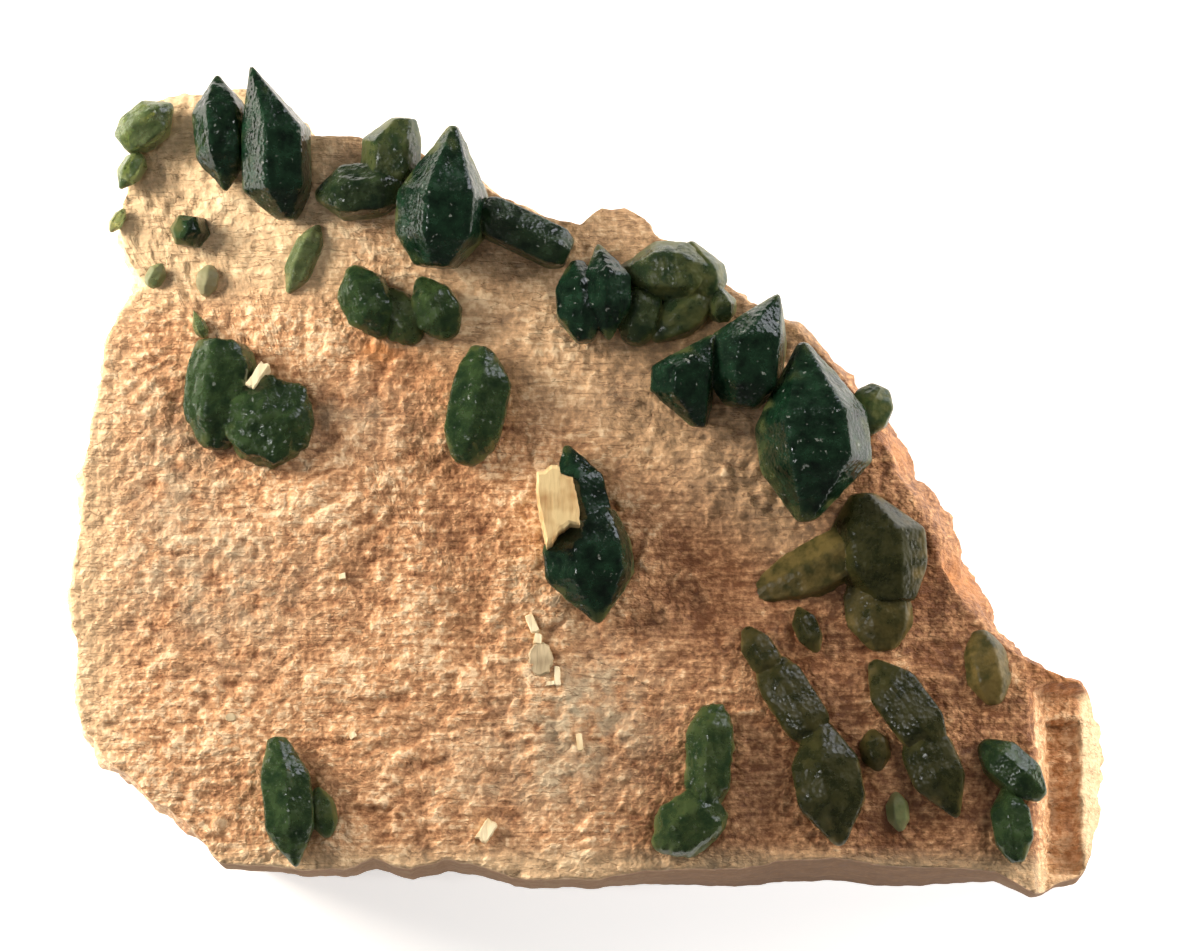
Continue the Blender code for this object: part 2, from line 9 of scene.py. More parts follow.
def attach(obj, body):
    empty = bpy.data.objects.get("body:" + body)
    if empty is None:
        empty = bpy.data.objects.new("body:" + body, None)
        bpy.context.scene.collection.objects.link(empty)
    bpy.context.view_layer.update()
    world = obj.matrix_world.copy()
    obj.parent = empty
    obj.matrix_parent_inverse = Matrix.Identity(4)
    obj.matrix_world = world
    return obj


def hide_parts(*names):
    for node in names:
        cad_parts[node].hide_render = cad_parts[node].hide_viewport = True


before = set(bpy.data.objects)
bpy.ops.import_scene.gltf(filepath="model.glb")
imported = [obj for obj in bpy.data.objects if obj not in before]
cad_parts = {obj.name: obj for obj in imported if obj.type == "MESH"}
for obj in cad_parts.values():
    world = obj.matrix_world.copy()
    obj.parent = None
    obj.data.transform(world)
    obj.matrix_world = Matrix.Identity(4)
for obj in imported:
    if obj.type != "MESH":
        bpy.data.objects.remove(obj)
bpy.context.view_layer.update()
print("frame loaded:", len(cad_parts), "nodes")

# lengths are in mm, with X to the right, Y away and Z up from the rock's flat back, until a mesh
# is made in metres
mm = 0.001
footprintCentre = np.array([0.355, 0.605, 0.0])  # drawing millimetres that lie over the part's origin


def toLinear(hexColour):
    # sRGB hex to linear: c/12.92 below 0.04045, else ((c + 0.055) / 1.055) to the power 2.4
    srgb = [int(hexColour[k:k + 2], 16) / 255 for k in (1, 3, 5)]
    return tuple(c / 12.92 if c <= 0.04045 else ((c + 0.055) / 1.055) ** 2.4 for c in srgb) + (1.0,)


def smooth(value, low, high):
    # eased step: t * t * (3 - 2t), with t running 0 to 1 between low and high
    t = np.clip((value - low) / (high - low), 0.0, 1.0)
    return t * t * (3.0 - 2.0 * t)


def mix(a, b, share):
    # a where share is 0, b where it is 1
    return a + (b - a) * share


def latticeNoise(x, y, z, seed=0):
    # gradient noise: each corner of a unit lattice has a slope that its own whole numbers are
    # scrambled into, and the eight slopes are blended by 6t^5 - 15t^4 + 10t^3 along each axis
    x, y, z = np.broadcast_arrays(x, y, z)
    corner = [np.floor(axis).astype(np.int64) for axis in (x, y, z)]
    offset = [axis - base for axis, base in zip((x, y, z), corner)]
    ease = [t * t * t * (t * (6.0 * t - 15.0) + 10.0) for t in offset]
    total = np.zeros(x.shape)
    for i in (0, 1):
        for j in (0, 1):
            for k in (0, 1):
                code = (corner[0] + i) * 73856093 ^ (corner[1] + j) * 19349663
                code = (code ^ (corner[2] + k) * 83492791 ^ (seed + 1) * 2654435761) & 0xffffffff
                code = ((code ^ (code >> 15)) * 0x2c1b3c6d) & 0xffffffff
                code = ((code ^ (code >> 12)) * 0x297a2d39) & 0xffffffff
                code = code ^ (code >> 15)
                slope = [((code >> shift) & 1023) / 511.5 - 1.0 for shift in (0, 10, 20)]
                near = slope[0] * (offset[0] - i) + slope[1] * (offset[1] - j)
                near = near + slope[2] * (offset[2] - k)
                weight = (ease[0] if i else 1.0 - ease[0]) * (ease[1] if j else 1.0 - ease[1])
                total += near * weight * (ease[2] if k else 1.0 - ease[2])
    return total * 1.4


def fractal(x, y, z, size, octaves, seed=0):
    # octaves of lattice noise, each half as large and half as strong as the one before
    return sum(0.5 ** n * latticeNoise(x / size * 2 ** n, y / size * 2 ** n, z / size * 2 ** n, seed + n)
               for n in range(octaves))


def meshObject(name, points, faces, attributes=None, flat=False, unit=mm):
    # points in drawing millimetres become a mesh about the part's origin, in metres
    mesh = bpy.data.meshes.new(name)
    mesh.from_pydata(((points - footprintCentre) * unit).tolist(), [], faces)
    mesh.update()
    mesh.polygons.foreach_set("use_smooth", np.full(len(mesh.polygons), not flat))
    for key, values in (attributes or {}).items():
        layer = mesh.attributes.new(key, "FLOAT_COLOR", "POINT")
        colours = np.ones((len(points), 4), dtype=np.float32)
        colours[:, :3] = values
        layer.data.foreach_set("color", colours.ravel())
    thing = bpy.data.objects.new(name, mesh)
    bpy.context.scene.collection.objects.link(thing)
    return thing


def wearMaterial(thing, material):
    # the object gets this material alone
    thing.data.materials.clear()
    thing.data.materials.append(material)


def addNode(tree, kind, inputs=None, **settings):
    # one node with its own settings; an input is a value, or the socket that feeds it
    node = tree.nodes.new("ShaderNode" + kind)
    for key, value in settings.items():
        setattr(node, key, value)
    for key, value in (inputs or {}).items():
        if isinstance(value, bpy.types.NodeSocket):
            tree.links.new(value, node.inputs[key])
        else:
            node.inputs[key].default_value = value
    return node


def newMaterial(name):
    # an empty node tree to build a material in
    material = bpy.data.materials.new(name)
    material.use_nodes = True
    material.node_tree.nodes.clear()
    return material, material.node_tree


def perMillimetre(size):
    # texture scale whose features are this many millimetres across, on coordinates in metres
    return 1.0 / (size * mm)


# the rock: a slab of feldspar, with its cleaved face up
slab = {
    "hub": (-13.5, -17.0),      # the face's cells are drawn out from here
    "cells": 264,               # cells across the face, 0.55 mm each
    "sideRings": 16,
    "footRings": 4,
    "crest": (-12.0, -2.0, 27.0),
    "fall": (0.0011, 0.0004),   # how fast the face drops away from the crest, per mm
    "knob": (-56.0, -30.0, 18.0, 34.0, 2.2),   # x and y where the corner's drop fades in, and the drop
    "edgeWander": 0.45,         # how ragged the edge of the face is
    "sideHeight": 40.0,         # the noise on the broken side runs down this far
    "sideLumps": (1.5, 6.0),    # height and size
    "sideGrain": (0.12, 0.55, 2.6),   # height on the front wall, how much more elsewhere, and size
    "edgeSpan": 7,              # cells either way along the edge that its direction is read from
    "frontWallY": -48.0,        # in front of this the side is one smooth cleavage wall
    "stepWall": (56.6, 31.0, 2.75),   # the right end's leaning wall: x, z there, slope
    "stepFloor": (62.6, 15.8, 0.42, 1.1),   # x, z there, how fast it falls, and faster past the trough
    "stepY": -27.4,
    "trough": (62.7, 67.2, -52.0, -31.2, 12.2),   # its x, its y, and the height of its bottom
    "stepSoft": 0.35,           # half widths of the ledges' rounded edges
    "troughSoft": 0.3,
    "endChips": (0.35, 1.2, 2.6),   # depth of its chips, and times that on the step and in the trough
    # the edge of the face, anticlockwise from the lower right corner:
    # x, y, how far the side bulges out below, how far its foot is drawn in
    "outline": [
        (66.8, -52.2, 0.4, 1.6), (69.0, -49.0, 0.4, 1.4), (69.5, -42.0, 0.5, 1.4),
        (69.9, -36.5, 0.5, 1.4), (70.0, -31.0, 0.5, 1.4), (68.6, -27.6, 0.6, 1.4),
        (65.0, -26.2, 0.8, 1.6), (61.8, -25.0, 1.4, 1.8), (58.9, -23.6, 2.6, 2.0),
        (54.8, -20.4, 4.2, 2.2), (52.2, -17.6, 5.0, 2.4), (50.4, -15.0, 5.4, 2.4),
        (48.6, -11.6, 5.6, 2.4), (46.9, -6.5, 5.0, 2.4), (44.6, -1.9, 4.8, 2.4),
        (41.7, 3.3, 4.6, 2.2), (40.0, 6.5, 4.8, 2.2), (38.2, 10.6, 4.2, 2.2),
        (34.6, 15.0, 2.6, 2.0), (28.8, 21.4, 2.0, 2.0), (22.1, 24.8, 2.0, 2.0),
        (16.0, 30.0, 1.4, 2.0), (10.6, 33.2, 1.2, 2.0), (8.6, 36.0, 1.0, 1.8),
        (5.7, 37.7, 0.8, 1.8), (2.6, 37.4, 0.8, 1.8), (-0.2, 35.2, 1.0, 1.8),
        (-5.0, 36.2, 1.2, 2.0), (-12.5, 39.8, 1.2, 2.0), (-22.0, 45.4, 1.0, 2.0),
        (-30.5, 47.6, 0.6, 2.0), (-36.8, 47.8, 0.4, 2.0), (-41.3, 51.8, 0.6, 2.0),
        (-46.0, 55.0, 0.6, 2.0), (-52.4, 54.4, 0.6, 2.0), (-58.8, 53.8, 0.6, 2.0),
        (-61.2, 51.0, 0.6, 2.0), (-61.8, 46.5, 0.6, 2.0), (-62.2, 41.3, 0.6, 2.0),
        (-63.3, 36.2, 0.6, 2.0), (-61.9, 31.2, 0.6, 2.0), (-59.4, 27.6, 0.4, 2.0),
        (-62.6, 23.9, 0.6, 2.0), (-64.4, 20.4, 0.8, 2.0), (-65.0, 14.0, 0.8, 2.0),
        (-66.4, 8.0, 0.8, 2.0), (-67.2, 1.5, 0.8, 2.0), (-67.5, -4.5, 0.8, 2.0),
        (-68.2, -9.5, 0.8, 2.2), (-69.0, -15.0, 0.8, 2.4), (-68.6, -20.0, 0.8, 2.6),
        (-67.6, -23.6, 0.6, 2.8), (-68.1, -29.4, 0.6, 3.2), (-66.6, -33.8, 0.4, 3.8),
        (-64.0, -37.7, 0.2, 4.6), (-60.6, -39.9, 0.0, 5.0), (-57.7, -43.3, 0.0, 5.0),
        (-53.8, -45.9, 0.0, 5.0), (-51.1, -48.6, 0.0, 5.0), (-48.1, -52.1, 0.0, 4.6),
        (-42.6, -52.4, 0.0, 4.0), (-37.5, -53.2, 0.0, 3.8), (-31.5, -52.9, 0.0, 3.4),
        (-27.8, -51.6, 0.0, 2.4), (-23.0, -53.2, 0.0, 2.6), (-18.4, -51.6, 0.0, 2.2),
        (-13.4, -52.9, 0.0, 2.6), (-9.4, -54.2, 0.0, 3.0), (-3.0, -54.5, 0.0, 3.0),
        (2.2, -54.2, 0.0, 2.8), (8.6, -53.2, 0.0, 1.9), (15.6, -52.9, 0.0, 1.5),
        (21.2, -52.7, 0.0, 1.2), (27.0, -51.8, 0.0, 0.7), (33.5, -51.2, 0.0, 0.5),
        (39.8, -52.0, 0.0, 0.6), (46.4, -52.3, 0.0, 0.8), (51.2, -52.4, 0.0, 1.2),
        (55.5, -52.7, 0.0, 2.0), (60.4, -55.4, 0.0, 3.4), (63.2, -54.0, 0.0, 2.6),
    ],
    # overlapping scales of cleaved rock, coarse to fine: length, breadth, height, wander
    "scales": [
        (9.0, 5.0, 0.55, 1.2),
        (5.0, 2.4, 0.38, 0.8),
        (3.0, 1.4, 0.2, 0.7),
    ],
    "scaleRise": 0.14,          # share of a scale's length that its steep left end takes
    "lumps": (0.55, 12.0),      # height and size
    "streaks": (0.12, 0.06),    # height, and how much more it is on the right
    "grain": {"size": 1.4, "everywhere": 0.08, "sugar": 0.24, "left": 0.18, "right": 0.2},
    "leftRim": (-52.0, -30.0),  # x where the left rim's grain fades out
    "rightHalf": (2.0, 26.0),   # x where the scales give way to grain
    "ridgeLine": (-36.0, 47.0, 0.62),   # a point of the line under the ridge, and how fast it falls
    "ridgeBand": (26.0, 12.0, -30.0, -18.0, 26.0, 40.0),   # how far below it, and x at both ends
    "sugarCorner": (-38.0, -22.0, 20.0, 30.0),   # x and y where the granular corner fades out
    "arc": (0.006, -35.0),      # the scales' steep ends bow back by this times the square past y
    "lean": 0.14,               # rise along X of the rows of scales and streaks
}


def faceHeight(x, y):
    # height of the face without its ledges: a dome that falls with the square of the distance
    # from the crest, with the upper left corner set lower
    crestX, crestY, top = slab["crest"]
    height = top - slab["fall"][0] * (x - crestX) ** 2 - slab["fall"][1] * (y - crestY) ** 2
    x0, x1, y0, y1, drop = slab["knob"]
    knob = (1.0 - smooth(x, x0, x1)) * smooth(y, y0, y1)
    return height - drop * knob


def sugarShare(x, y):
    # 1 where the rock is granular: the upper left corner and a band under the crystal ridge
    lineX, lineY, fall = slab["ridgeLine"]
    ridge = lineY - fall * (x - lineX)
    far, near, x0, x1, x2, x3 = slab["ridgeBand"]
    band = smooth(y, ridge - far, ridge - near) * smooth(x, x0, x1) * (1.0 - smooth(x, x2, x3))
    x0, x1, y0, y1 = slab["sugarCorner"]
    corner = (1.0 - smooth(x, x0, x1)) * smooth(y, y0, y1)
    return np.clip(band + corner, 0.0, 1.0)


def hashOf(row, seed):
    # a number from 0 to 1 that belongs to a whole number
    code = (row.astype(np.int64) * 73856093 ^ (seed + 3) * 2654435761) & 0xffffffff
    code = ((code ^ (code >> 15)) * 0x2c1b3c6d) & 0xffffffff
    return ((code ^ (code >> 13)) & 0xffff) / 65535.0


def scaleSteps(x, y, length, breadth, wander, seed):
    # rows of overlapping scales: each row starts at its own place, rises at once and then falls
    # slowly towards +X, and its steep end bulges forward in the middle of the row
    bow, bowY = slab["arc"]
    along = x - bow * np.maximum(y - bowY, 0.0) ** 2
    row = (y - slab["lean"] * x) / breadth
    row = row + 0.9 * latticeNoise(x / (2.2 * length), y / (3.0 * breadth), 1.0, seed)
    base = np.floor(row)
    bend = np.sin(np.pi * (row - base))
    phase = along / length + 1.7 * hashOf(base, seed) + 0.2 * bend
    phase = phase + wander * latticeNoise(x / (1.6 * length), y / (1.6 * length), 2.0, seed + 1)
    phase = phase + 0.2 * wander * latticeNoise(x / (0.3 * length), y / (0.3 * length), 3.0, seed + 2)
    t = phase - np.floor(phase)
    rise = slab["scaleRise"]
    saw = np.where(t < rise, smooth(t, 0.0, rise), 1.0 - (t - rise) / (1.0 - rise))
    return saw * (0.7 + 0.3 * bend ** 0.5) - 0.5


def faceRelief(x, y):
    # lumps, three sizes of overlapping scales, streaks along X, and grain where it is granular
    sugar = sugarShare(x, y)
    right = smooth(x, *slab["rightHalf"])
    left = 1.0 - smooth(x, *slab["leftRim"])
    lumpHeight, lumpSize = slab["lumps"]
    relief = lumpHeight * fractal(x, y, 7.0, lumpSize, 3, 1)
    for n, (length, breadth, height, wander) in enumerate(slab["scales"]):
        patch = 0.7 + 1.0 * latticeNoise(x / 15.0, y / 8.0, n, 40)
        share = np.clip(patch, 0.1, 1.2) * (1.0 - 0.8 * right) * (1.0 - 0.9 * sugar)
        share = share * (mix(1.0, 0.5, left) if n == 0 else 1.0)
        relief = relief + height * share * scaleSteps(x, y, length, breadth, wander, 20 + 3 * n)
    across = y - slab["lean"] * x
    streaks = latticeNoise(x / 9.0, across / 1.3, 3.0, 50)
    streaks = streaks + 0.6 * latticeNoise(x / 6.0, across / 0.9, 5.0, 51)
    streakHeight, more = slab["streaks"]
    relief = relief + (streakHeight + more * right) * (1.0 - 0.7 * sugar) * streaks
    grain = slab["grain"]
    height = grain["everywhere"] + grain["sugar"] * sugar + grain["left"] * left + grain["right"] * right
    return relief + height * fractal(x, y, 2.0, grain["size"], 2, 60)


def cutEnd(x, y, height):
    # the right end: a wall that leans outwards, a sloping step at its foot, and a narrow trough
    # with a rib beyond it, which falls away outwards
    wallX, wallZ, slope = slab["stepWall"]
    floorX, floorZ, fall, ribFall = slab["stepFloor"]
    x0, x1, y0, y1, bottom = slab["trough"]
    stepSoft, soft = slab["stepSoft"], slab["troughSoft"]
    chipDepth, onStep, inBottom = slab["endChips"]
    chips = chipDepth * fractal(x, y, 4.0, 3.0, 2, 70)
    floor = floorZ - fall * (x - floorX) - ribFall * np.maximum(x - x1, 0.0) + onStep * chips
    stepped = np.maximum(wallZ - slope * (x + chips - wallX), floor)
    inStep = smooth(slab["stepY"] - y + chips, -stepSoft, stepSoft)
    height = mix(height, np.minimum(height, stepped), inStep)
    inTrough = smooth(x + chips, x0 - soft, x0 + soft) * smooth(-x - chips, -x1 - soft, -x1 + soft)
    inTrough = inTrough * smooth(y, y0 - soft, y0 + soft) * smooth(-y, -y1 - soft, -y1 + soft)
    return mix(height, np.minimum(height, bottom + inBottom * chips), inTrough)


def outlineAt(turn):
    # x, y, bulge and inset at each share of the way round, straight between the outline's points,
    # with a little ragged wander added across the edge
    table = np.array(slab["outline"])
    closed = np.vstack([table, table[:1]])
    lengths = np.hypot(*np.diff(closed[:, :2], axis=0).T)
    marks = np.concatenate([[0.0], np.cumsum(lengths)]) / lengths.sum()
    place = np.stack([np.interp(turn % 1.0, marks, closed[:, k]) for k in range(4)], axis=-1)
    wander = fractal(place[..., 0], place[..., 1], 0.0, 4.5, 3, 80) * slab["edgeWander"]
    spoke = place[..., :2] - np.array(slab["hub"])
    place[..., :2] += spoke / np.linalg.norm(spoke, axis=-1, keepdims=True) * wander[..., None]
    return place


def faceGrid():
    # a square grid drawn out to the outline: hub + share * (outline - hub), where share is the
    # larger of |u| and |v|, and turn is how far round the square the point lies
    line = np.linspace(-1.0, 1.0, slab["cells"] + 1)
    u, v = np.meshgrid(line, line, indexing="ij")
    share = np.maximum(np.abs(u), np.abs(v))
    safe = np.maximum(share, 1e-9)
    a, b = u / safe, v / safe
    turn = np.select([a > 0.99999, b > 0.99999, a < -0.99999], [(1 + b) / 8, (3 - a) / 8, (5 - b) / 8],
                     (7 + a) / 8)
    hub = np.array(slab["hub"])
    spot = hub + share[..., None] * (outlineAt(turn)[..., :2] - hub)
    height = faceHeight(spot[..., 0], spot[..., 1]) + faceRelief(spot[..., 0], spot[..., 1])
    height = cutEnd(spot[..., 0], spot[..., 1], height)
    return np.concatenate([spot, height[..., None]], axis=-1)


def borderIndex(n):
    # the grid's border, anticlockwise from the corner u = 1, v = -1
    index = np.arange((n + 1) ** 2).reshape(n + 1, n + 1)
    return np.concatenate([index[n, :n], index[n:0:-1, n], index[0, n:0:-1], index[:n, 0]])


def sideRing(rim, columns, depth):
    # one ring of the broken side: out by bulge * sin of the depth, in by inset * depth squared,
    # roughened except on the front wall, and down by the share depth of the rim's height
    span = slab["edgeSpan"]
    along = np.roll(columns[:, :2], -span, axis=0) - np.roll(columns[:, :2], span, axis=0)
    outward = np.stack([along[:, 1], -along[:, 0]], axis=-1)
    outward /= np.linalg.norm(outward, axis=-1, keepdims=True)
    reach = columns[:, 2] * np.sin(0.5 * np.pi * min(depth / 0.7, 1.0)) - columns[:, 3] * depth ** 2
    rough = smooth(rim[:, 1], slab["frontWallY"] - 1.0, slab["frontWallY"] + 1.0)
    level = slab["sideHeight"] * depth
    lump, size = slab["sideLumps"]
    reach = reach + lump * rough * latticeNoise(rim[:, 0] / size, rim[:, 1] / size, level / size, 90)
    least, more, size = slab["sideGrain"]
    fine = fractal(rim[:, 0], rim[:, 1], 0.6 * level, size, 3, 95)
    reach = reach + (least + more * rough) * fine * min(depth * 8.0, 1.0)
    ring = rim.copy()
    ring[:, :2] += outward * reach[:, None] * (1.0 if depth < 1.0 else 0.98)
    ring[:, 2] *= 1.0 - depth
    return ring


def quadStrip(upper, lower):
    # quads between two closed rings of vertex numbers, facing outwards
    return np.stack([upper, lower, np.roll(lower, -1), np.roll(upper, -1)], axis=-1)


# where the rock's colour changes, and where light and shade are painted on it: soft patches as strength,
# x, y and reach along X and along Y, and bands as the x or y where they start and end, and their strength
rockPatches = {
    "rust": [(0.9, -27.5, 17.5, 2.4, 1.8), (0.3, -22.0, 14.0, 8.0, 5.0), (0.6, 64.0, -26.5, 5.0, 2.6)],
    "flankRust": [(0.8, 50.0, -13.0, 6.0, 4.0), (0.6, 41.5, 5.0, 4.0, 3.0)],
    "grey": [(0.8, 1.0, -31.0, 9.0, 9.0), (0.6, -48.0, -16.0, 12.0, 9.0), (0.6, -56.0, 0.0, 7.0, 12.0),
             (0.5, -30.0, 9.0, 9.0, 5.0), (0.5, -8.0, -40.0, 10.0, 7.0)],
    "cutEnd": (56.0, 1.5),              # its x, and how far below the face it starts
    "troughRust": (62.5, 67.6, 0.35),
    # painted highlight: cream on the rib of the cut end past this x, and its strength
    "ribHighlight": (67.4, 0.9),
    "flank": (36.0, 42.0),
    # painted highlight: cream on the left rim, the x where it fades, and its strength
    "leftRimHighlight": (-69.0, -58.0, 0.8),
    "sugarCream": (-40.0, -10.0, 0.45, 0.4),   # the last is how much stronger it is on the left, as painted light
    "frontCream": (49.0, 52.5, 0.7),
    "paintedShade": (-4.0, 26.0, 0.5, 0.38),   # painted shade: the level on the left, and how much darker it is painted towards the right
    "paintedReliefShade": (0.45, 0.1),         # painted light and shade: how much lighter a rise of 1 mm is, hollows darker, and the sides' level
}


def softPatches(x, y, patches):
    # the sum of round patches, each falling as exp of minus the squared distance over its reach
    return sum(strength * np.exp(-((x - cx) / rx) ** 2 - ((y - cy) / ry) ** 2)
               for strength, cx, cy, rx, ry in patches)


def rockZones(points, depth):
    # shares the material mixes by: granular, wall (partly painted shade), rust, then grey, painted shade
    # level, cream and highlight
    x, y, z = points.T
    top = depth <= 0.0
    smoothed = faceHeight(x, y)
    # the front wall: its darker grey-tan is partly its own colour and partly painted shade
    wall = np.where(top, 0.0, 1.0 - smooth(y, slab["frontWallY"] - 1.0, slab["frontWallY"] + 1.0))
    endX, endDrop = rockPatches["cutEnd"]
    inEnd = (x > endX) & (y < slab["stepY"]) & (z < smoothed - endDrop)
    low, high, strength = rockPatches["troughRust"]
    rust = softPatches(x, y, rockPatches["rust"]) + np.where(inEnd & (x > low) & (x < high), strength, 0.0)
    flank = np.where(top, 0.0, smooth(x, *rockPatches["flank"]))
    rust = rust + flank * softPatches(x, y, rockPatches["flankRust"])
    grey = softPatches(x, y, rockPatches["grey"])
    # painted shade: the level is painted darker towards the right, with rises lighter and hollows darker
    low, high, level, fall = rockPatches["paintedShade"]
    level = level - fall * smooth(x, low, high) * (1.0 - inEnd)
    perRise, sides = rockPatches["paintedReliefShade"]
    level = level + np.where(top & ~inEnd, perRise * (z - smoothed), sides)
    # cream where the rock is granular, with more on the left that is painted light
    low, high, strength, more = rockPatches["sugarCream"]
    creamAndHighlight = (strength + more * (1.0 - smooth(x, low, high))) * sugarShare(x, y)
    # painted highlight: the left rim is painted cream
    low, high, strength = rockPatches["leftRimHighlight"]
    creamAndHighlight = creamAndHighlight + strength * (1.0 - smooth(x, low, high))
    # painted highlight: the rib of the cut end is painted cream
    low, strength = rockPatches["ribHighlight"]
    creamAndHighlight = creamAndHighlight + np.where(inEnd & (x > low), strength, 0.0)
    low, high, strength = rockPatches["frontCream"]
    creamAndHighlight = np.clip(creamAndHighlight + strength * np.where(top, smooth(-y, low, high), 0.0), 0.0, 1.0)
    first = np.stack([sugarShare(x, y), wall, np.clip(rust, 0, 1)], axis=-1)
    second = np.stack([np.clip(grey, 0, 1), np.clip(level, 0, 1), creamAndHighlight], axis=-1)
    return first, second


def buildSlab():
    # the face grid, the rings of its broken side and the flat foot, joined to one closed surface
    n = slab["cells"]
    face = faceGrid()
    border = borderIndex(n)
    points = [face.reshape(-1, 3)]
    depths = [np.zeros((n + 1) ** 2)]
    index = np.arange((n + 1) ** 2).reshape(n + 1, n + 1)
    corners = [index[:-1, :-1], index[1:, :-1], index[1:, 1:], index[:-1, 1:]]
    faces = [np.stack(corners, axis=-1).reshape(-1, 4)]
    rim = points[0][border]
    columns = outlineAt(np.arange(4 * n) / (4 * n))
    upper, count = border, (n + 1) ** 2
    for step in range(slab["sideRings"]):
        depth = (step + 1) / slab["sideRings"]
        ring = sideRing(rim, columns, depth)
        lower = count + np.arange(4 * n)
        faces.append(quadStrip(upper, lower))
        points.append(ring)
        depths.append(np.full(4 * n, depth))
        upper, count = lower, count + 4 * n
    foot = points[-1]
    hub = np.array([*slab["hub"], 0.0])
    for step in range(1, slab["footRings"]):
        lower = count + np.arange(4 * n)
        faces.append(quadStrip(upper, lower))
        points.append(mix(foot, hub, step / slab["footRings"]))
        depths.append(np.ones(4 * n))
        upper, count = lower, count + 4 * n
    points.append(hub[None])
    depths.append(np.ones(1))
    pole = [(int(a), count, int(b)) for a, b in zip(upper, np.roll(upper, -1))]
    points, depths = np.concatenate(points), np.concatenate(depths)
    first, second = rockZones(points, depths)
    quads = np.concatenate(faces).tolist()
    return meshObject("rockSlab", points, quads + pole, {"zones": first, "tintsAndPaintedShade": second})


rockLook = {
    # the tones that the level runs through, and where each one lies on it
    "tones": [("#7c5034", 0.12), ("#a87955", 0.3), ("#d19f74", 0.49), ("#f2d0a8", 0.68)],
    # the wall tone is the front wall's grey-tan, darkened in part as painted shade
    "creamAndHighlight": "#eed9b0", "grey": "#b0a58c", "rust": "#cf8a52", "wall": "#74563a", "seam": "#8a5c3c",
    "broadSize": 15.0, "blotSize": 3.2, "grainSize": 0.9,   # mm
    "streakSize": (6.0, 0.55, 2.0), "seamSize": (8.0, 1.5, 4.0), "seamWidth": 0.012,
    "turn": -8.0,               # degrees from X along which the streaks run
    # overlapping scales too fine for the mesh: length, breadth and height in mm
    "scales": [(2.0, 1.0, 0.13), (1.0, 0.55, 0.07)],
    "streakHeight": 0.2, "grainHeight": 0.27, "seamHeight": -0.12,
}


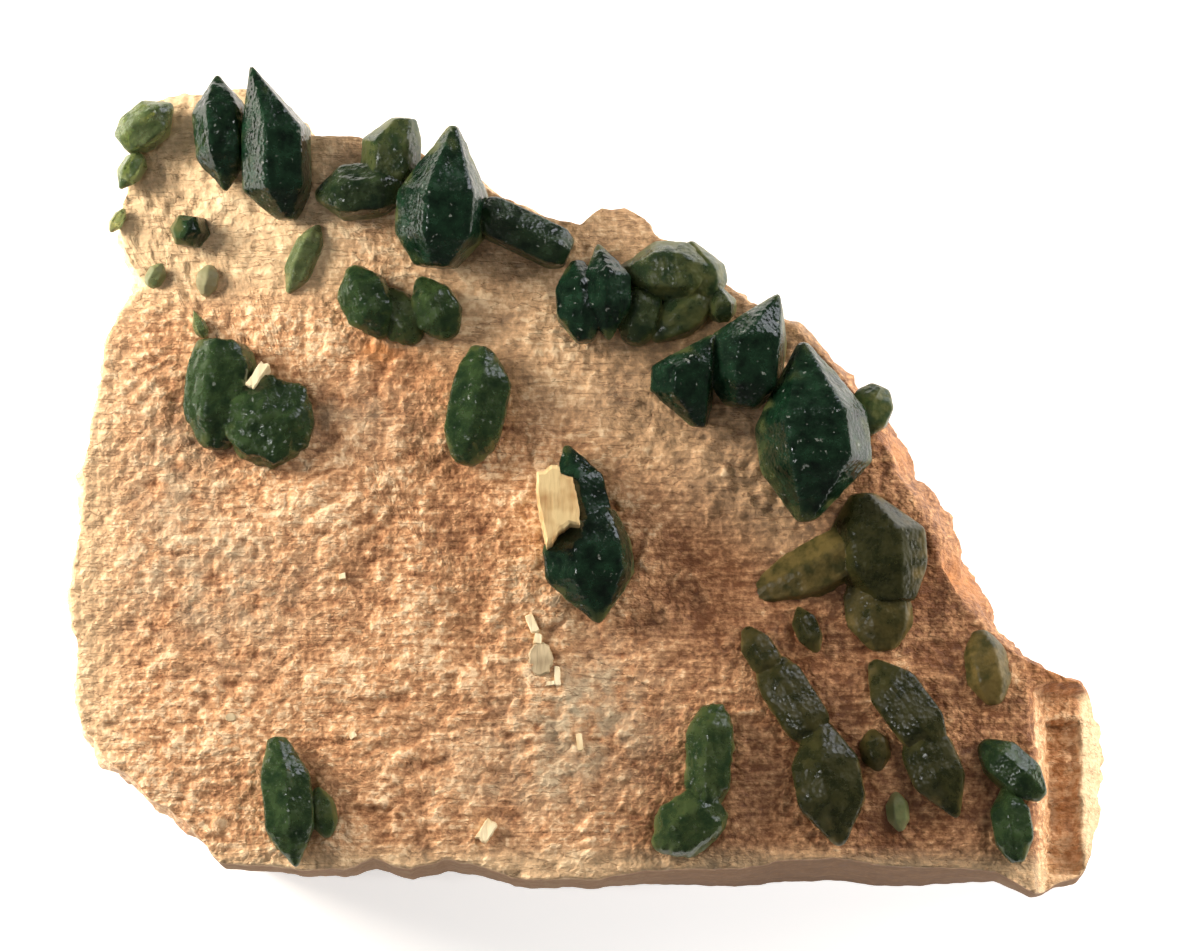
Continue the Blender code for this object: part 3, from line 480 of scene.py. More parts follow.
def cleavedFeldspar():
    # pink alkali feldspar, broken along its cleavage: satin, with fine steps and streaks on the
    # cleaved face and a sugary grain where it is crushed
    material, tree = newMaterial("cleavedFeldspar")
    place = addNode(tree, "TexCoord").outputs["Object"]
    zones = addNode(tree, "Attribute", attribute_name="zones").outputs["Color"]
    tintsAndPaintedShade = addNode(tree, "Attribute", attribute_name="tintsAndPaintedShade").outputs["Color"]
    sugar, wall, rust = addNode(tree, "SeparateColor", {"Color": zones}).outputs
    grey, paintedShadeLevel, creamAndHighlight = addNode(tree, "SeparateColor", {"Color": tintsAndPaintedShade}).outputs
    turn = (0.0, 0.0, math.radians(rockLook["turn"]))
    along, seams = [addNode(tree, "Mapping", {
        "Vector": place, "Rotation": turn,
        "Scale": [perMillimetre(size) for size in rockLook[key]]}).outputs["Vector"]
        for key in ("streakSize", "seamSize")]
    broad, blots, streaks, grain, seam = [addNode(tree, "TexNoise", {
        "Vector": vector, "Scale": scale, "Detail": detail, "Roughness": rough}).outputs["Fac"]
        for vector, scale, detail, rough in (
            (place, perMillimetre(rockLook["broadSize"]), 3.0, 0.5),
            (place, perMillimetre(rockLook["blotSize"]), 5.0, 0.6),
            (along, 1.0, 4.0, 0.6),
            (place, perMillimetre(rockLook["grainSize"]), 2.0, 0.6),
            (seams, 1.0, 3.0, 0.5))]
    # colour: a level from several patterns and the painted shade level, each centred on one half, picks a
    # tone
    level = 0.48
    for value, weight in ((broad, 0.25), (blots, 0.45), (streaks, 0.6), (grain, 1.0), (paintedShadeLevel, 0.6)):
        part = addNode(tree, "Math", {0: value, 1: weight, 2: -0.5 * weight}, operation="MULTIPLY_ADD")
        level = addNode(tree, "Math", {0: level, 1: part.outputs[0]}).outputs[0]
    ramp = addNode(tree, "ValToRGB", {"Fac": level})
    stops = ramp.color_ramp.elements
    stops.remove(stops[1])
    darkest, stops[0].position = rockLook["tones"][0]
    stops[0].color = toLinear(darkest)
    for tone, position in rockLook["tones"][1:]:
        stops.new(position).color = toLinear(tone)
    colour = ramp.outputs["Color"]
    # thin dark seams where a drawn-out noise passes through one half
    offset = addNode(tree, "Math", {0: seam, 1: 0.5}, operation="SUBTRACT").outputs[0]
    offset = addNode(tree, "Math", {0: offset}, operation="ABSOLUTE").outputs[0]
    crack, greyShare, rustShare = [addNode(tree, "MapRange", {
        0: value, 1: low, 2: high, 3: start, 4: end}).outputs["Result"]
        for value, low, high, start, end in (
            (offset, 0.0, rockLook["seamWidth"], 0.55, 0.0),
            (blots, 0.36, 0.6, 0.0, 0.9),
            (blots, 0.3, 0.62, 0.15, 1.0))]
    # cream that is partly painted highlight, grey, rust and dark seams lie over the tone, then the front
    # wall's colour, which is partly painted shade
    for zone, strength, tone in ((creamAndHighlight, 0.55, "creamAndHighlight"), (grey, greyShare, "grey"),
                                 (rust, rustShare, "rust"), (crack, 1.0, "seam"), (wall, 0.85, "wall")):
        share = addNode(tree, "Math", {0: zone, 1: strength}, operation="MULTIPLY").outputs[0]
        colour = addNode(tree, "Mix", {0: share, 6: colour, 7: toLinear(rockLook[tone])},
                         data_type="RGBA").outputs[2]
    # height in mm: small overlapping scales away from the granular parts, then streaks and grain
    across = addNode(tree, "SeparateXYZ", {"Vector": place}).outputs["X"]
    crumb = addNode(tree, "Math", {0: sugar, 1: -0.85, 2: 1.0}, operation="MULTIPLY_ADD").outputs[0]
    height = 0.0
    for length, breadth, step in rockLook["scales"]:
        drawn = addNode(tree, "Mapping", {
            "Vector": place, "Rotation": turn,
            "Scale": (perMillimetre(2.0 * length), perMillimetre(breadth), perMillimetre(length))})
        wander = addNode(tree, "TexNoise", {"Vector": drawn.outputs["Vector"], "Scale": 1.0, "Detail": 1.0})
        run = addNode(tree, "Math", {0: across, 1: perMillimetre(length)}, operation="MULTIPLY").outputs[0]
        phase = addNode(tree, "Math", {0: wander.outputs["Fac"], 1: 1.6, 2: run}, operation="MULTIPLY_ADD")
        phase = addNode(tree, "Math", {0: phase.outputs[0]}, operation="FRACT").outputs[0]
        rise = addNode(tree, "MapRange", {0: phase, 1: 0.0, 2: 0.22, 3: 0.0, 4: step}).outputs["Result"]
        fall = addNode(tree, "Math", {0: 1.0, 1: phase}, operation="SUBTRACT").outputs[0]
        saw = addNode(tree, "Math", {0: rise, 1: fall}, operation="MULTIPLY").outputs[0]
        height = addNode(tree, "Math", {0: saw, 1: crumb, 2: height}, operation="MULTIPLY_ADD").outputs[0]
    for value, key in ((streaks, "streakHeight"), (grain, "grainHeight"), (crack, "seamHeight")):
        height = addNode(tree, "Math", {0: value, 1: rockLook[key], 2: height},
                         operation="MULTIPLY_ADD").outputs[0]
    plain = addNode(tree, "Math", {0: wall, 1: -0.8, 2: 1.0}, operation="MULTIPLY_ADD").outputs[0]
    height = addNode(tree, "Math", {0: height, 1: plain}, operation="MULTIPLY").outputs[0]
    bump = addNode(tree, "Bump", {"Strength": 1.0, "Distance": mm, "Height": height})
    # satin, rougher in the grain and on the front wall
    rough = addNode(tree, "MapRange", {0: grain, 1: 0.3, 2: 0.7, 3: 0.5, 4: 0.8}).outputs["Result"]
    rough = addNode(tree, "Math", {0: wall, 1: 0.35, 2: rough}, operation="MULTIPLY_ADD").outputs[0]
    shader = addNode(tree, "BsdfPrincipled", {
        "Base Color": colour, "Roughness": rough, "IOR": 1.53, "Normal": bump.outputs["Normal"]})
    addNode(tree, "OutputMaterial", {"Surface": shader.outputs["BSDF"]})
    return material


# the apatite crystals
growth = {
    "planes": 6,
    "seed": 11,
    "around": 84,               # cells round a crystal
    "length": 60,               # cells from its head to its tail
    "etchSize": 3.0,            # mm, with a finer etching a third of that
    "coreSize": 2.0,            # mm, the core's cloudy edge
}

# one entry for each piece: its node, its tone, and the crystals that grew into each other there.
# Each crystal has x and y across the slab, rise of its centre above the rock, (length, width,
# depth), (turn, pitch, roll), its head and its tail (share of the length, width of the blunting
# flat, and where it isn't nought how far the tip lies to the side and up), how crisp its edges
# are, how deep its etching is in mm, and how deep the colour of its core is
crystals = {
    "cornerCrystals": ("corner_crystals", "pale", [
        (-59.4, 49.9, 2.2, (9.0, 7.0, 6.5), (38, 8, 20), (0.35, 0.15), (0.3, 0.55), 24, 0.25, 0.9),
        (-61.7, 43.5, 1.4, (5.8, 3.8, 4.0), (-118, 10, 0), (0.4, 0.2), (0.2, 0.5), 30, 0.15, 1)]),
    "rimChip": ("rim_chip", "pale", [
        (-63.4, 36.8, 0.7, (3.8, 2.0, 2.2), (60, 0, 0), (0.3, 0.3), (0.3, 0.3), 24, 0.1, 0.6)]),
    "buttonCrystal": ("button_crystal", "mid", [
        (-53.6, 34.8, 1.6, (5.2, 5.2, 5.2), (200, 66, 0), (0.3, 0.55), (0.1, 0.9), 40, 0.1, 1)]),
    "paleChip": ("pale_chip", "pale", [
        (-58.0, 28.8, 0.6, (3.6, 2.8, 2.6), (60, 15, 10), (0.3, 0.3), (0.2, 0.6), 24, 0.1, 0.4)]),
    "paleBud": ("pale_bud", "faint", [
        (-50.9, 27.8, 0.6, (4.4, 3.6, 3.0), (80, 0, 30), (0.3, 0.4), (0.3, 0.4), 20, 0.12, 0.3)]),
    "paleBlade": ("pale_blade", "pale", [
        (-37.8, 30.4, 0.5, (10.4, 4.2, 4.0), (66, 3, 15), (0.25, 0.2), (0.3, 0.2), 28, 0.3, 0.8)]),
    "summitCrystals": ("summit_crystals", "dark", [
        (-49.2, 48.0, 3.4, (16.6, 8.2, 8.0), (95, 4, 8), (0.3, 0.1), (0.3, 0.1), 40, 0.3, 1),
        (-41.5, 46.2, 4.0, (21.4, 10.2, 10.5), (91, 8, 14),
         (0.42, 0.06, 0.68, 0.1), (0.18, 0.35, -0.25), 60, 0.14, 1)]),
    "upperRidgeCrystals": ("upper_ridge_crystals", "dark", [
        (-30.2, 39.2, 2.6, (12.2, 8.2, 8.0), (4, 3, 24), (0.25, 0.5), (0.3, 0.25), 24, 0.25, 0.8),
        (-25.9, 44.3, 3.2, (10.0, 8.6, 8.0), (86, 18, 0), (0.3, 0.45, -0.3), (0.25, 0.6), 34, 0.18, 0.55),
        (-18.7, 37.8, 5.0, (19.3, 13.4, 12.0), (86, 9, 12),
         (0.48, 0.16, -0.1), (0.22, 0.5, 0.05), 60, 0.2, 1),
        (-7.7, 33.2, 2.6, (13.2, 6.8, 7.2), (-25, -4, 30), (0.12, 0.7), (0.1, 0.8), 44, 0.16, 0.9)]),
    "middleRidgeCrystals": ("middle_ridge_crystals", "dark", [
        (-0.2, 23.7, 2.6, (11.4, 7.8, 6.8), (96, 0, 30), (0.3, 0.3), (0.3, 0.4), 34, 0.22, 1),
        (3.4, 24.9, 3.2, (13.6, 7.6, 7.6), (88, 0, 30), (0.34, 0.12, 0.4), (0.34, 0.1, -0.1), 38, 0.22, 1),
        (10.9, 28.1, 2.6, (13.2, 8.8, 7.6), (-3, 5, 10), (0.25, 0.45), (0.42, 0.15, -0.1), 28, 0.22, 0.5),
        (16.3, 28.0, 2.4, (9.0, 6.6, 6.4), (104, 8, 0), (0.45, 0.2, 0.2), (0.3, 0.3), 34, 0.15, 0.2),
        (7.8, 22.2, 1.4, (8.6, 6.6, 6.0), (76, 0, 18), (0.25, 0.5), (0.25, 0.5), 20, 0.2, 0.7),
        (13.8, 22.6, 1.4, (11.6, 6.4, 5.4), (42, 0, 25), (0.35, 0.3), (0.35, 0.3), 20, 0.2, 0.35),
        (18.8, 24.1, 2.2, (5.6, 4.4, 4.8), (92, 24, 8), (0.5, 0.05, 0.3), (0.2, 0.6), 38, 0.12, 0.5)]),
    "lowerRidgeCrystals": ("lower_ridge_crystals", "dark", [
        (13.6, 12.8, 3.6, (12.6, 9.8, 8.6), (86, 12, 20),
         (0.38, 0.12, -0.75, 0.1), (0.34, 0.3, -0.5), 50, 0.22, 1),
        (22.4, 17.1, 3.8, (16.0, 11.6, 10.4), (82, 8, 20), (0.42, 0.1, -0.5), (0.2, 0.5), 50, 0.2, 1),
        (31.0, 5.8, 4.4, (24.2, 16.0, 13.0), (97, 4, 2), (0.42, 0.14), (0.3, 0.2, 0.3), 60, 0.2, 1),
        (38.8, 9.2, 2.0, (7.4, 6.6, 5.4), (66, 4, 30), (0.25, 0.5), (0.35, 0.3), 24, 0.15, 0.1)]),
    "greenPair": ("green_pair", "mid", [
        (-28.9, 23.9, 1.7, (10.8, 8.0, 7.4), (114, 6, 16), (0.3, 0.3), (0.3, 0.3), 24, 0.35, 0.85),
        (-19.9, 23.2, 1.2, (9.6, 7.6, 6.2), (118, 4, 22), (0.35, 0.2), (0.3, 0.4), 20, 0.35, 0.8),
        (-24.6, 21.9, 0.7, (8.4, 7.0, 5.0), (124, 2, 14), (0.3, 0.5), (0.3, 0.4), 16, 0.3, 0.6)]),
    "spikeCrystal": ("spike", "pale", [
        (-51.9, 21.5, 0.8, (4.2, 2.0, 2.6), (112, 5, 0), (0.5, 0.05), (0.2, 0.5), 30, 0.08, 1)]),
    "leftCrystals": ("left_crystals", "mid", [
        (-48.9, 11.3, 1.3, (14.8, 10.6, 7.2), (84, 6, 12), (0.2, 0.7, 0.1), (0.3, 0.4), 24, 0.35, 0.85),
        (-42.0, 7.7, 1.2, (11.8, 13.6, 6.6), (-20, -6, 25), (0.25, 0.4), (0.3, 0.5), 24, 0.45, 0.85)]),
    "roundedCrystal": ("rounded_crystal", "mid", [
        (-14.1, 9.3, 1.6, (16.4, 9.6, 7.8), (79, 2, 30), (0.26, 0.42, 0.2), (0.26, 0.4), 20, 0.3, 0.85)]),
    "centreCrystals": ("centre_crystals", "dark", [
        (0.3, -4.2, 1.8, (17.0, 8.4, 7.0), (104, 2, 30), (0.34, 0.12, 0.1), (0.25, 0.4), 38, 0.2, 1),
        (1.0, -12.8, 2.2, (15.4, 13.2, 8.6), (95, 3, 14),
         (0.3, 0.5, -0.2), (0.42, 0.1, -0.1), 38, 0.25, 1)]),
    "oliveCrystals": ("olive_crystals", "olive", [
        (39.7, -9.4, 1.3, (15.0, 13.8, 7.4), (-86, -3, 4),
         (0.3, 0.5, 0.2), (0.34, 0.3, -0.2), 40, 0.07, 0.85),
        (30.9, -12.4, 0.3, (18.0, 8.4, 4.6), (29, 3, 20), (0.2, 0.6), (0.42, 0.4, 0.2), 20, 0.18, 0.15),
        (39.9, -17.4, 0.3, (12.0, 10.2, 4.4), (96, 0, 14), (0.25, 0.6), (0.3, 0.4), 16, 0.18, 0.6)]),
    "upperGreenChip": ("upper_green_chip", "olive", [
        (30.2, -20.6, 0.4, (6.8, 3.9, 3.4), (112, 0, 20), (0.3, 0.2), (0.3, 0.3), 24, 0.09, 0.8)]),
    "leafCrystals": ("leaf_crystals", "olive", [
        (24.0, -24.0, 0.5, (8.4, 5.0, 4.2), (122, 0, 20), (0.3, 0.3), (0.3, 0.3), 20, 0.12, 0.7),
        (28.2, -30.4, 0.6, (15.4, 7.6, 5.2), (122, 0, 28), (0.25, 0.4), (0.25, 0.4), 20, 0.15, 0.8),
        (32.9, -41.2, 1.3, (17.8, 11.4, 7.6), (100, 2, 26), (0.36, 0.22), (0.36, 0.16), 30, 0.13, 0.85)]),
    "longBladeCrystals": ("long_blade_crystals", "olive", [
        (43.4, -30.9, 1.0, (15.4, 8.2, 6.0), (126, 0, 26), (0.3, 0.24), (0.25, 0.4), 28, 0.12, 0.85),
        (47.2, -39.0, 1.0, (15.2, 8.4, 5.8), (113, 0, 24), (0.3, 0.35), (0.36, 0.14), 28, 0.12, 0.85)]),
    "darkChip": ("dark_chip", "olive", [
        (39.2, -36.8, 0.4, (5.8, 4.6, 4.0), (100, 0, 10), (0.3, 0.3), (0.3, 0.3), 20, 0.09, 0.6)]),
    "oliveChip": ("olive_chip", "pale", [
        (42.2, -45.0, 0.3, (5.4, 3.4, 2.6), (96, 0, 10), (0.3, 0.3), (0.3, 0.3), 20, 0.09, 0.3)]),
    "sunkenCrystal": ("sunken_crystal", "olive", [
        (54.4, -25.2, 0.1, (10.4, 6.8, 4.4), (102, 0, 0), (0.3, 0.4), (0.3, 0.4), 20, 0.12, 0.0)]),
    "rightEdgeCrystals": ("right_edge_crystals", "mid", [
        (57.6, -39.2, 1.2, (11.2, 6.8, 5.8), (-42, 0, 24), (0.3, 0.3), (0.3, 0.3), 28, 0.15, 0.85),
        (57.5, -46.6, 1.2, (10.4, 6.4, 5.8), (98, 0, 26), (0.3, 0.3), (0.3, 0.35), 28, 0.15, 0.85)]),
    "frostedCrystals": ("frosted_crystals", "mid", [
        (17.0, -38.2, 1.2, (14.2, 7.0, 5.8), (86, 2, 22), (0.2, 0.5), (0.2, 0.6), 24, 0.5, 0.7),
        (14.0, -47.4, 1.2, (10.8, 9.0, 5.8), (34, 0, 18), (0.25, 0.5), (0.3, 0.3), 20, 0.35, 0.7)]),
    "spindleCrystals": ("spindle_crystals", "mid", [
        (-39.2, -44.4, 1.5, (17.8, 7.9, 7.2), (96, 2, 30),
         (0.3, 0.4, 0.15), (0.3, 0.12, -0.1), 32, 0.25, 0.85),
        (-34.6, -45.6, 0.6, (7.0, 4.2, 3.6), (102, 0, 10), (0.3, 0.3), (0.3, 0.3), 20, 0.2, 0.5)]),
}


def crystalPlanes(head, tail, roll, chance):
    # normals and distances of the faces in unit space, head towards +X: six prism faces, and a
    # pyramid face above and below each, from the prism's shoulder to the edge of the end's flat
    normals, distances = [], []
    flatRadius = math.cos(math.pi / growth["planes"])
    for k in range(growth["planes"]):
        angle = (k + 0.5) * math.tau / growth["planes"] + math.radians(roll)
        around = np.array([0.0, math.cos(angle), math.sin(angle)])
        edge = np.array([0.0, -math.sin(angle), math.cos(angle)])
        normals.append(around)
        distances.append(flatRadius * chance.uniform(0.9, 1.0))
        for sign, end in ((1.0, head), (-1.0, tail)):
            share, flat, across, up = (*end, 0.0, 0.0)[:4]
            shoulder = np.array([sign * (1.0 - 2.0 * share), 0.0, 0.0]) + around * flatRadius
            rim = np.array([sign, across, up]) + around * flatRadius * flat
            slope = sign * np.cross(edge, rim - shoulder)
            slope /= np.linalg.norm(slope)
            normals.append(slope)
            distances.append(slope @ shoulder * chance.uniform(0.94, 1.0))
    for sign in (1.0, -1.0):
        normals.append(np.array([sign, 0.0, 0.0]))
        distances.append(1.0)
    return np.array(normals), np.array(distances)


def turning(axis, degrees):
    # rotation about one axis, right-handed
    c, s = math.cos(math.radians(degrees)), math.sin(math.radians(degrees))
    a, b = [(1, 2), (2, 0), (0, 1)][axis]
    matrix = np.eye(3)
    matrix[a, a], matrix[a, b], matrix[b, a], matrix[b, b] = c, -s, s, c
    return matrix


def crystalSurface(spec, chance, seed):
    # distance from the centre in each direction d: (sum of max(0, n.d / D) ^ edge) ^ (-1 / edge)
    # over the faces, which is the faceted form with its edges rounded as edge falls; two sizes of
    # noise then etch it, fading out towards the tips; core is how much of the deep colour shows,
    # most on top of the crystal and none round its thin margin
    x, y, rise, size, (turn, pitch, roll), head, tail, edge, etch, depth = spec
    normals, distances = crystalPlanes(head, tail, roll, chance)
    around, length = growth["around"], growth["length"]
    polar = np.linspace(0.0, np.pi, length + 1)[1:-1]
    azimuth = np.arange(around) * (2.0 * np.pi / around)
    t, a = np.meshgrid(polar, azimuth, indexing="ij")
    ways = np.stack([np.cos(t), np.sin(t) * np.cos(a), np.sin(t) * np.sin(a)], axis=-1).reshape(-1, 3)
    ways = np.concatenate([ways, [[1.0, 0.0, 0.0], [-1.0, 0.0, 0.0]]])
    facing = np.maximum(ways @ normals.T / distances, 0.0)
    radius = (facing ** edge).sum(axis=1) ** (-1.0 / edge)
    half = np.array(size) / 2.0
    u, v, w = (ways * radius[:, None] * half).T
    coarse, cloud = growth["etchSize"], growth["coreSize"]
    fine = coarse / 3.0
    pits = 0.5 * latticeNoise(u / coarse, v / coarse, w / coarse, seed)
    pits = pits + 0.4 * latticeNoise(u / fine, v / fine, w / fine, seed + 5)
    calm = smooth(np.hypot(ways[:, 1], ways[:, 2]), 0.05, 0.45)
    points = ways * (radius + etch * pits * calm / half.min())[:, None] * half
    level = points[:, 2] / half[2] + 0.5 * latticeNoise(u / cloud, v / cloud, w / cloud, seed + 9)
    core = depth * smooth(level + 0.65 * depth, 0.35, 1.0)
    points = points @ (turning(2, turn) @ turning(1, -pitch)).T
    points += np.array([x, y, float(faceHeight(x, y)) + rise])
    index = np.arange(len(points) - 2).reshape(length - 1, around)
    faces = np.concatenate([quadStrip(upper, lower) for upper, lower in zip(index[:-1], index[1:])])
    headPole = [(int(i), int(j), len(points) - 2) for i, j in zip(index[0], np.roll(index[0], -1))]
    tailPole = [(int(j), int(i), len(points) - 1) for i, j in zip(index[-1], np.roll(index[-1], -1))]
    return points, faces.tolist() + headPole + tailPole, core[:, None]


def carryCore(mesh, points, core):
    # each vertex takes the core share of the nearest point that the crystals were made from
    lookup = kdtree.KDTree(len(points))
    for n, point in enumerate(points - footprintCentre):
        lookup.insert(point, n)
    lookup.balance()
    nearest = [lookup.find(vertex.co)[1] for vertex in mesh.vertices]
    layer = mesh.attributes.get("core") or mesh.attributes.new("core", "FLOAT_COLOR", "POINT")
    colours = np.ones((len(nearest), 4), dtype=np.float32)
    colours[:, :3] = core[nearest]
    layer.data.foreach_set("color", colours.ravel())


def buildCrystals(name, members, chance, number):
    # the crystals of one piece, joined to one closed surface; the joints are cut in millimetres
    grown = [crystalSurface(spec, chance, 100 + 10 * number + k) for k, spec in enumerate(members)]
    parts = [meshObject(f"{name}{k or ''}", points, faces, {"core": core}, unit=1.0)
             for k, (points, faces, core) in enumerate(grown)]
    whole = parts[0]
    for other in parts[1:]:
        joint = whole.modifiers.new("Grown together", "BOOLEAN")
        joint.operation, joint.object, joint.solver = "UNION", other, "EXACT"
    if parts[1:]:
        bpy.context.view_layer.update()
        graph = bpy.context.evaluated_depsgraph_get()
        joined = bpy.data.meshes.new_from_object(whole.evaluated_get(graph))
        whole.modifiers.clear()
        whole.data = joined
        for other in parts[1:]:
            bpy.data.objects.remove(other)
        joined.polygons.foreach_set("use_smooth", np.ones(len(joined.polygons), dtype=bool))
        points, core = (np.concatenate([part[k] for part in grown]) for k in (0, 2))
        carryCore(joined, points, core)
    whole.data.transform(Matrix.Scale(mm, 4))
    whole.data.update()
    return whole


# for each tone of apatite: absorption colour and density per metre, body light and dark, thin
# margin, share let through, roughness of its clearest faces, strength of their gloss, and the
# strength of its painted glints, small white specks
tones = {
    "dark": ("#3fae6a", 450.0, "#2b5438", "#0e2217", "#8a8d52", 0.6, 0.1, 0.5, 0.6),
    "mid": ("#6fbb65", 340.0, "#40683b", "#1a3320", "#85894f", 0.6, 0.12, 0.45, 0.5),
    "olive": ("#a3b254", 250.0, "#3a4421", "#1d2611", "#94804a", 0.55, 0.18, 0.32, 0.0),
    "pale": ("#a9c878", 190.0, "#a9bd80", "#4c6a3e", "#c4c187", 0.65, 0.12, 0.5, 0.0),
    "faint": ("#c8cf8a", 100.0, "#c9c89a", "#8e9468", "#d2c79a", 0.6, 0.3, 0.4, 0.0),
}
crystalLook = {
    "veilSize": 2.0, "veilRough": 0.24,     # size in mm, and how much rougher the veils are
    "marginRough": 0.34,
    "ramp": (0.34, 0.75),                   # where the core's dark veins end and its light begins
    # size in mm and colour of the painted glints: white specks that stand in for sparkles
    "glintSize": 0.8, "paintedGlint": "#dde6dd",
    "pitSize": 0.6, "pitHeight": 0.07,      # mm
}


def grownApatite(tone):
    # fluorapatite, grown faces lightly etched: glassy green that turns almost black where it is
    # thick, olive where the rock shows through its thin margin, with small white specks painted on as
    # glints
    absorbed, density, light, dark, margin, through, polish, gloss, chips = tones[tone]
    material, tree = newMaterial(f"{tone}Apatite")
    place = addNode(tree, "TexCoord").outputs["Object"]
    core = addNode(tree, "Attribute", attribute_name="core").outputs["Fac"]
    veils, glintSpecks = [addNode(tree, "TexNoise", {
        "Vector": place, "Scale": perMillimetre(crystalLook[key]), "Detail": detail,
        "Roughness": rough}).outputs["Fac"]
        for key, detail, rough in (("veilSize", 5.0, 0.6), ("glintSize", 2.0, 0.5))]
    pits = addNode(tree, "TexVoronoi", {"Vector": place, "Scale": perMillimetre(crystalLook["pitSize"])})
    ramp = addNode(tree, "ValToRGB", {"Fac": veils})
    stops = ramp.color_ramp.elements
    stops[0].position, stops[0].color = crystalLook["ramp"][0], toLinear(dark)
    stops[1].position, stops[1].color = crystalLook["ramp"][1], toLinear(light)
    cloudy, paintedGlint, rough = [addNode(tree, "MapRange", {
        0: value, 1: low, 2: high, 3: start, 4: end}).outputs["Result"]
        for value, low, high, start, end in (
            (veils, 0.38, 0.6, 0.2, 1.0),
            (glintSpecks, 0.68, 0.74, 0.0, chips),
            (veils, 0.35, 0.7, polish, polish + crystalLook["veilRough"]))]
    # painted glints only where the core shows
    paintedGlint = addNode(tree, "Math", {0: paintedGlint, 1: core}, operation="MULTIPLY").outputs[0]
    # the margin's cloudy colour gives way to the veined core, and the painted glints, small white specks,
    # lie over both
    body = toLinear(light)
    for share, tint in ((cloudy, toLinear(margin)), (core, ramp.outputs["Color"]),
                        (paintedGlint, toLinear(crystalLook["paintedGlint"]))):
        body = addNode(tree, "Mix", {0: share, 6: body, 7: tint}, data_type="RGBA").outputs[2]
    rough = addNode(tree, "Mix", {0: core, 2: crystalLook["marginRough"], 3: rough}).outputs[0]
    bump = addNode(tree, "Bump", {
        "Strength": 1.0, "Distance": crystalLook["pitHeight"] * mm, "Height": pits.outputs["Distance"]})
    shader = addNode(tree, "BsdfPrincipled", {
        "Base Color": body, "Roughness": rough, "IOR": 1.63, "Specular IOR Level": gloss,
        "Transmission Weight": through, "Normal": bump.outputs["Normal"]})
    volume = addNode(tree, "VolumeAbsorption", {"Color": toLinear(absorbed), "Density": density})
    addNode(tree, "OutputMaterial", {
        "Surface": shader.outputs["BSDF"], "Volume": volume.outputs["Volume"]})
    return material


# the cream feldspar blade, and small flakes that lie loose in the rock's surface
plates = {
    "cell": 0.3,                # mm along the outline
    "bevel": 0.3,
    "topShare": 0.88,           # how wide the top is inside its bevel
    "raggedSize": 0.7,
    "bladeOutline": [(-6.1, -1.0), (-6.0, -4.5), (-5.3, -7.9), (-4.7, -10.9), (-4.1, -10.6), (-3.2, -8.9),
                     (-1.6, -7.8), (-0.3, -8.1), (-0.4, -5.3), (-1.3, -1.6), (-2.8, -1.2), (-3.1, 0.0),
                     (-4.3, 0.0), (-4.8, -0.7)],
    "bladeRise": (0.4, 7.7),    # its foot and its top above the rock
    "bladeLean": (-0.1, 0.02),
    "bladeWander": 0.06,
    "flakeSink": 1.5,
    "flakeLean": (0.1, 0.0),
    "flakeWander": 0.2,
    # x, y, length, width, turn, height, for each flake
    "flakes": [(-6.7, -20.1, 3.0, 1.3, 112, 0.7), (-5.9, -22.2, 1.6, 1.2, 80, 0.7),
               (-3.3, -27.2, 3.0, 0.9, 92, 0.6), (-4.6, -28.3, 2.4, 0.7, 8, 0.5),
               (-0.3, -36.2, 2.8, 0.9, 96, 0.6), (-12.7, -48.1, 3.6, 1.9, 58, 0.7),
               (-43.7, 13.4, 4.4, 1.4, 57, 4.6), (-30.6, -35.2, 1.1, 0.9, 30, 0.5),
               (-32.2, -13.6, 1.0, 0.9, 10, 0.5)],
    "ovals": [(-5.6, -25.0, 3.9, 2.7, 90, 0.6), (-47.0, -32.6, 1.2, 1.0, 0, 0.5)],
    "lineSize": (0.5, 4.0, 2.0), "lineTurn": 5.0, "lineHeight": 0.2,   # mm and degrees
    "blotSize": 3.0,
    # dark and light of each feldspar
    "tones": {"creamFeldspar": ("#b98f5e", "#e2c894"), "paleFlake": ("#d9c093", "#f3e6c4"),
              "greyFlake": ("#9c8a6e", "#c9b795")},
}


def plateSurface(outline, low, high, lean, wander, seed):
    # a closed plate: the outline, divided into cells and made ragged by noise, is drawn up from
    # low to high and bevelled; lean tips the top, in mm per mm along X and Y
    corners = np.array(outline, dtype=float)
    closed = np.vstack([corners, corners[:1]])
    marks = np.concatenate([[0.0], np.cumsum(np.hypot(*np.diff(closed, axis=0).T))])
    count = max(12, int(marks[-1] / plates["cell"]))
    at = np.arange(count) * marks[-1] / count
    ring = np.stack([np.interp(at, marks, closed[:, k]) for k in (0, 1)], axis=-1)
    centre = corners.mean(axis=0)
    size = plates["raggedSize"]
    shake = latticeNoise(ring[:, 0] / size, ring[:, 1] / size, 0.0, seed)
    ring = centre + (ring - centre) * (1.0 + wander * shake[:, None])
    rings = []
    for share, z in ((1.0, low), (1.0, high - plates["bevel"]), (plates["topShare"], high)):
        flat = centre + (ring - centre) * share
        tip = (flat - centre) @ np.array(lean) if z > low else 0.0
        rings.append(np.column_stack([flat, np.zeros(count) + z + tip]))
    points = np.concatenate([*rings, [[*centre, low]], [[*centre, high]]])
    index = np.arange(3 * count).reshape(3, count)
    faces = quadStrip(index[1], index[0]).tolist() + quadStrip(index[2], index[1]).tolist()
    after = np.roll(index, -1, axis=1)
    foot = [(int(b), int(a), 3 * count) for a, b in zip(index[0], after[0])]
    top = [(int(a), int(b), 3 * count + 1) for a, b in zip(index[2], after[2])]
    return points, faces + foot + top


def buildBlade():
    # one plate that stands on the rock beside the centre crystals
    x, y = np.mean(plates["bladeOutline"], axis=0)
    low, high = (float(faceHeight(x, y)) + rise for rise in plates["bladeRise"])
    points, faces = plateSurface(plates["bladeOutline"], low, high, plates["bladeLean"],
                                 plates["bladeWander"], 300)
    return meshObject("creamBlade", points, faces, flat=True)


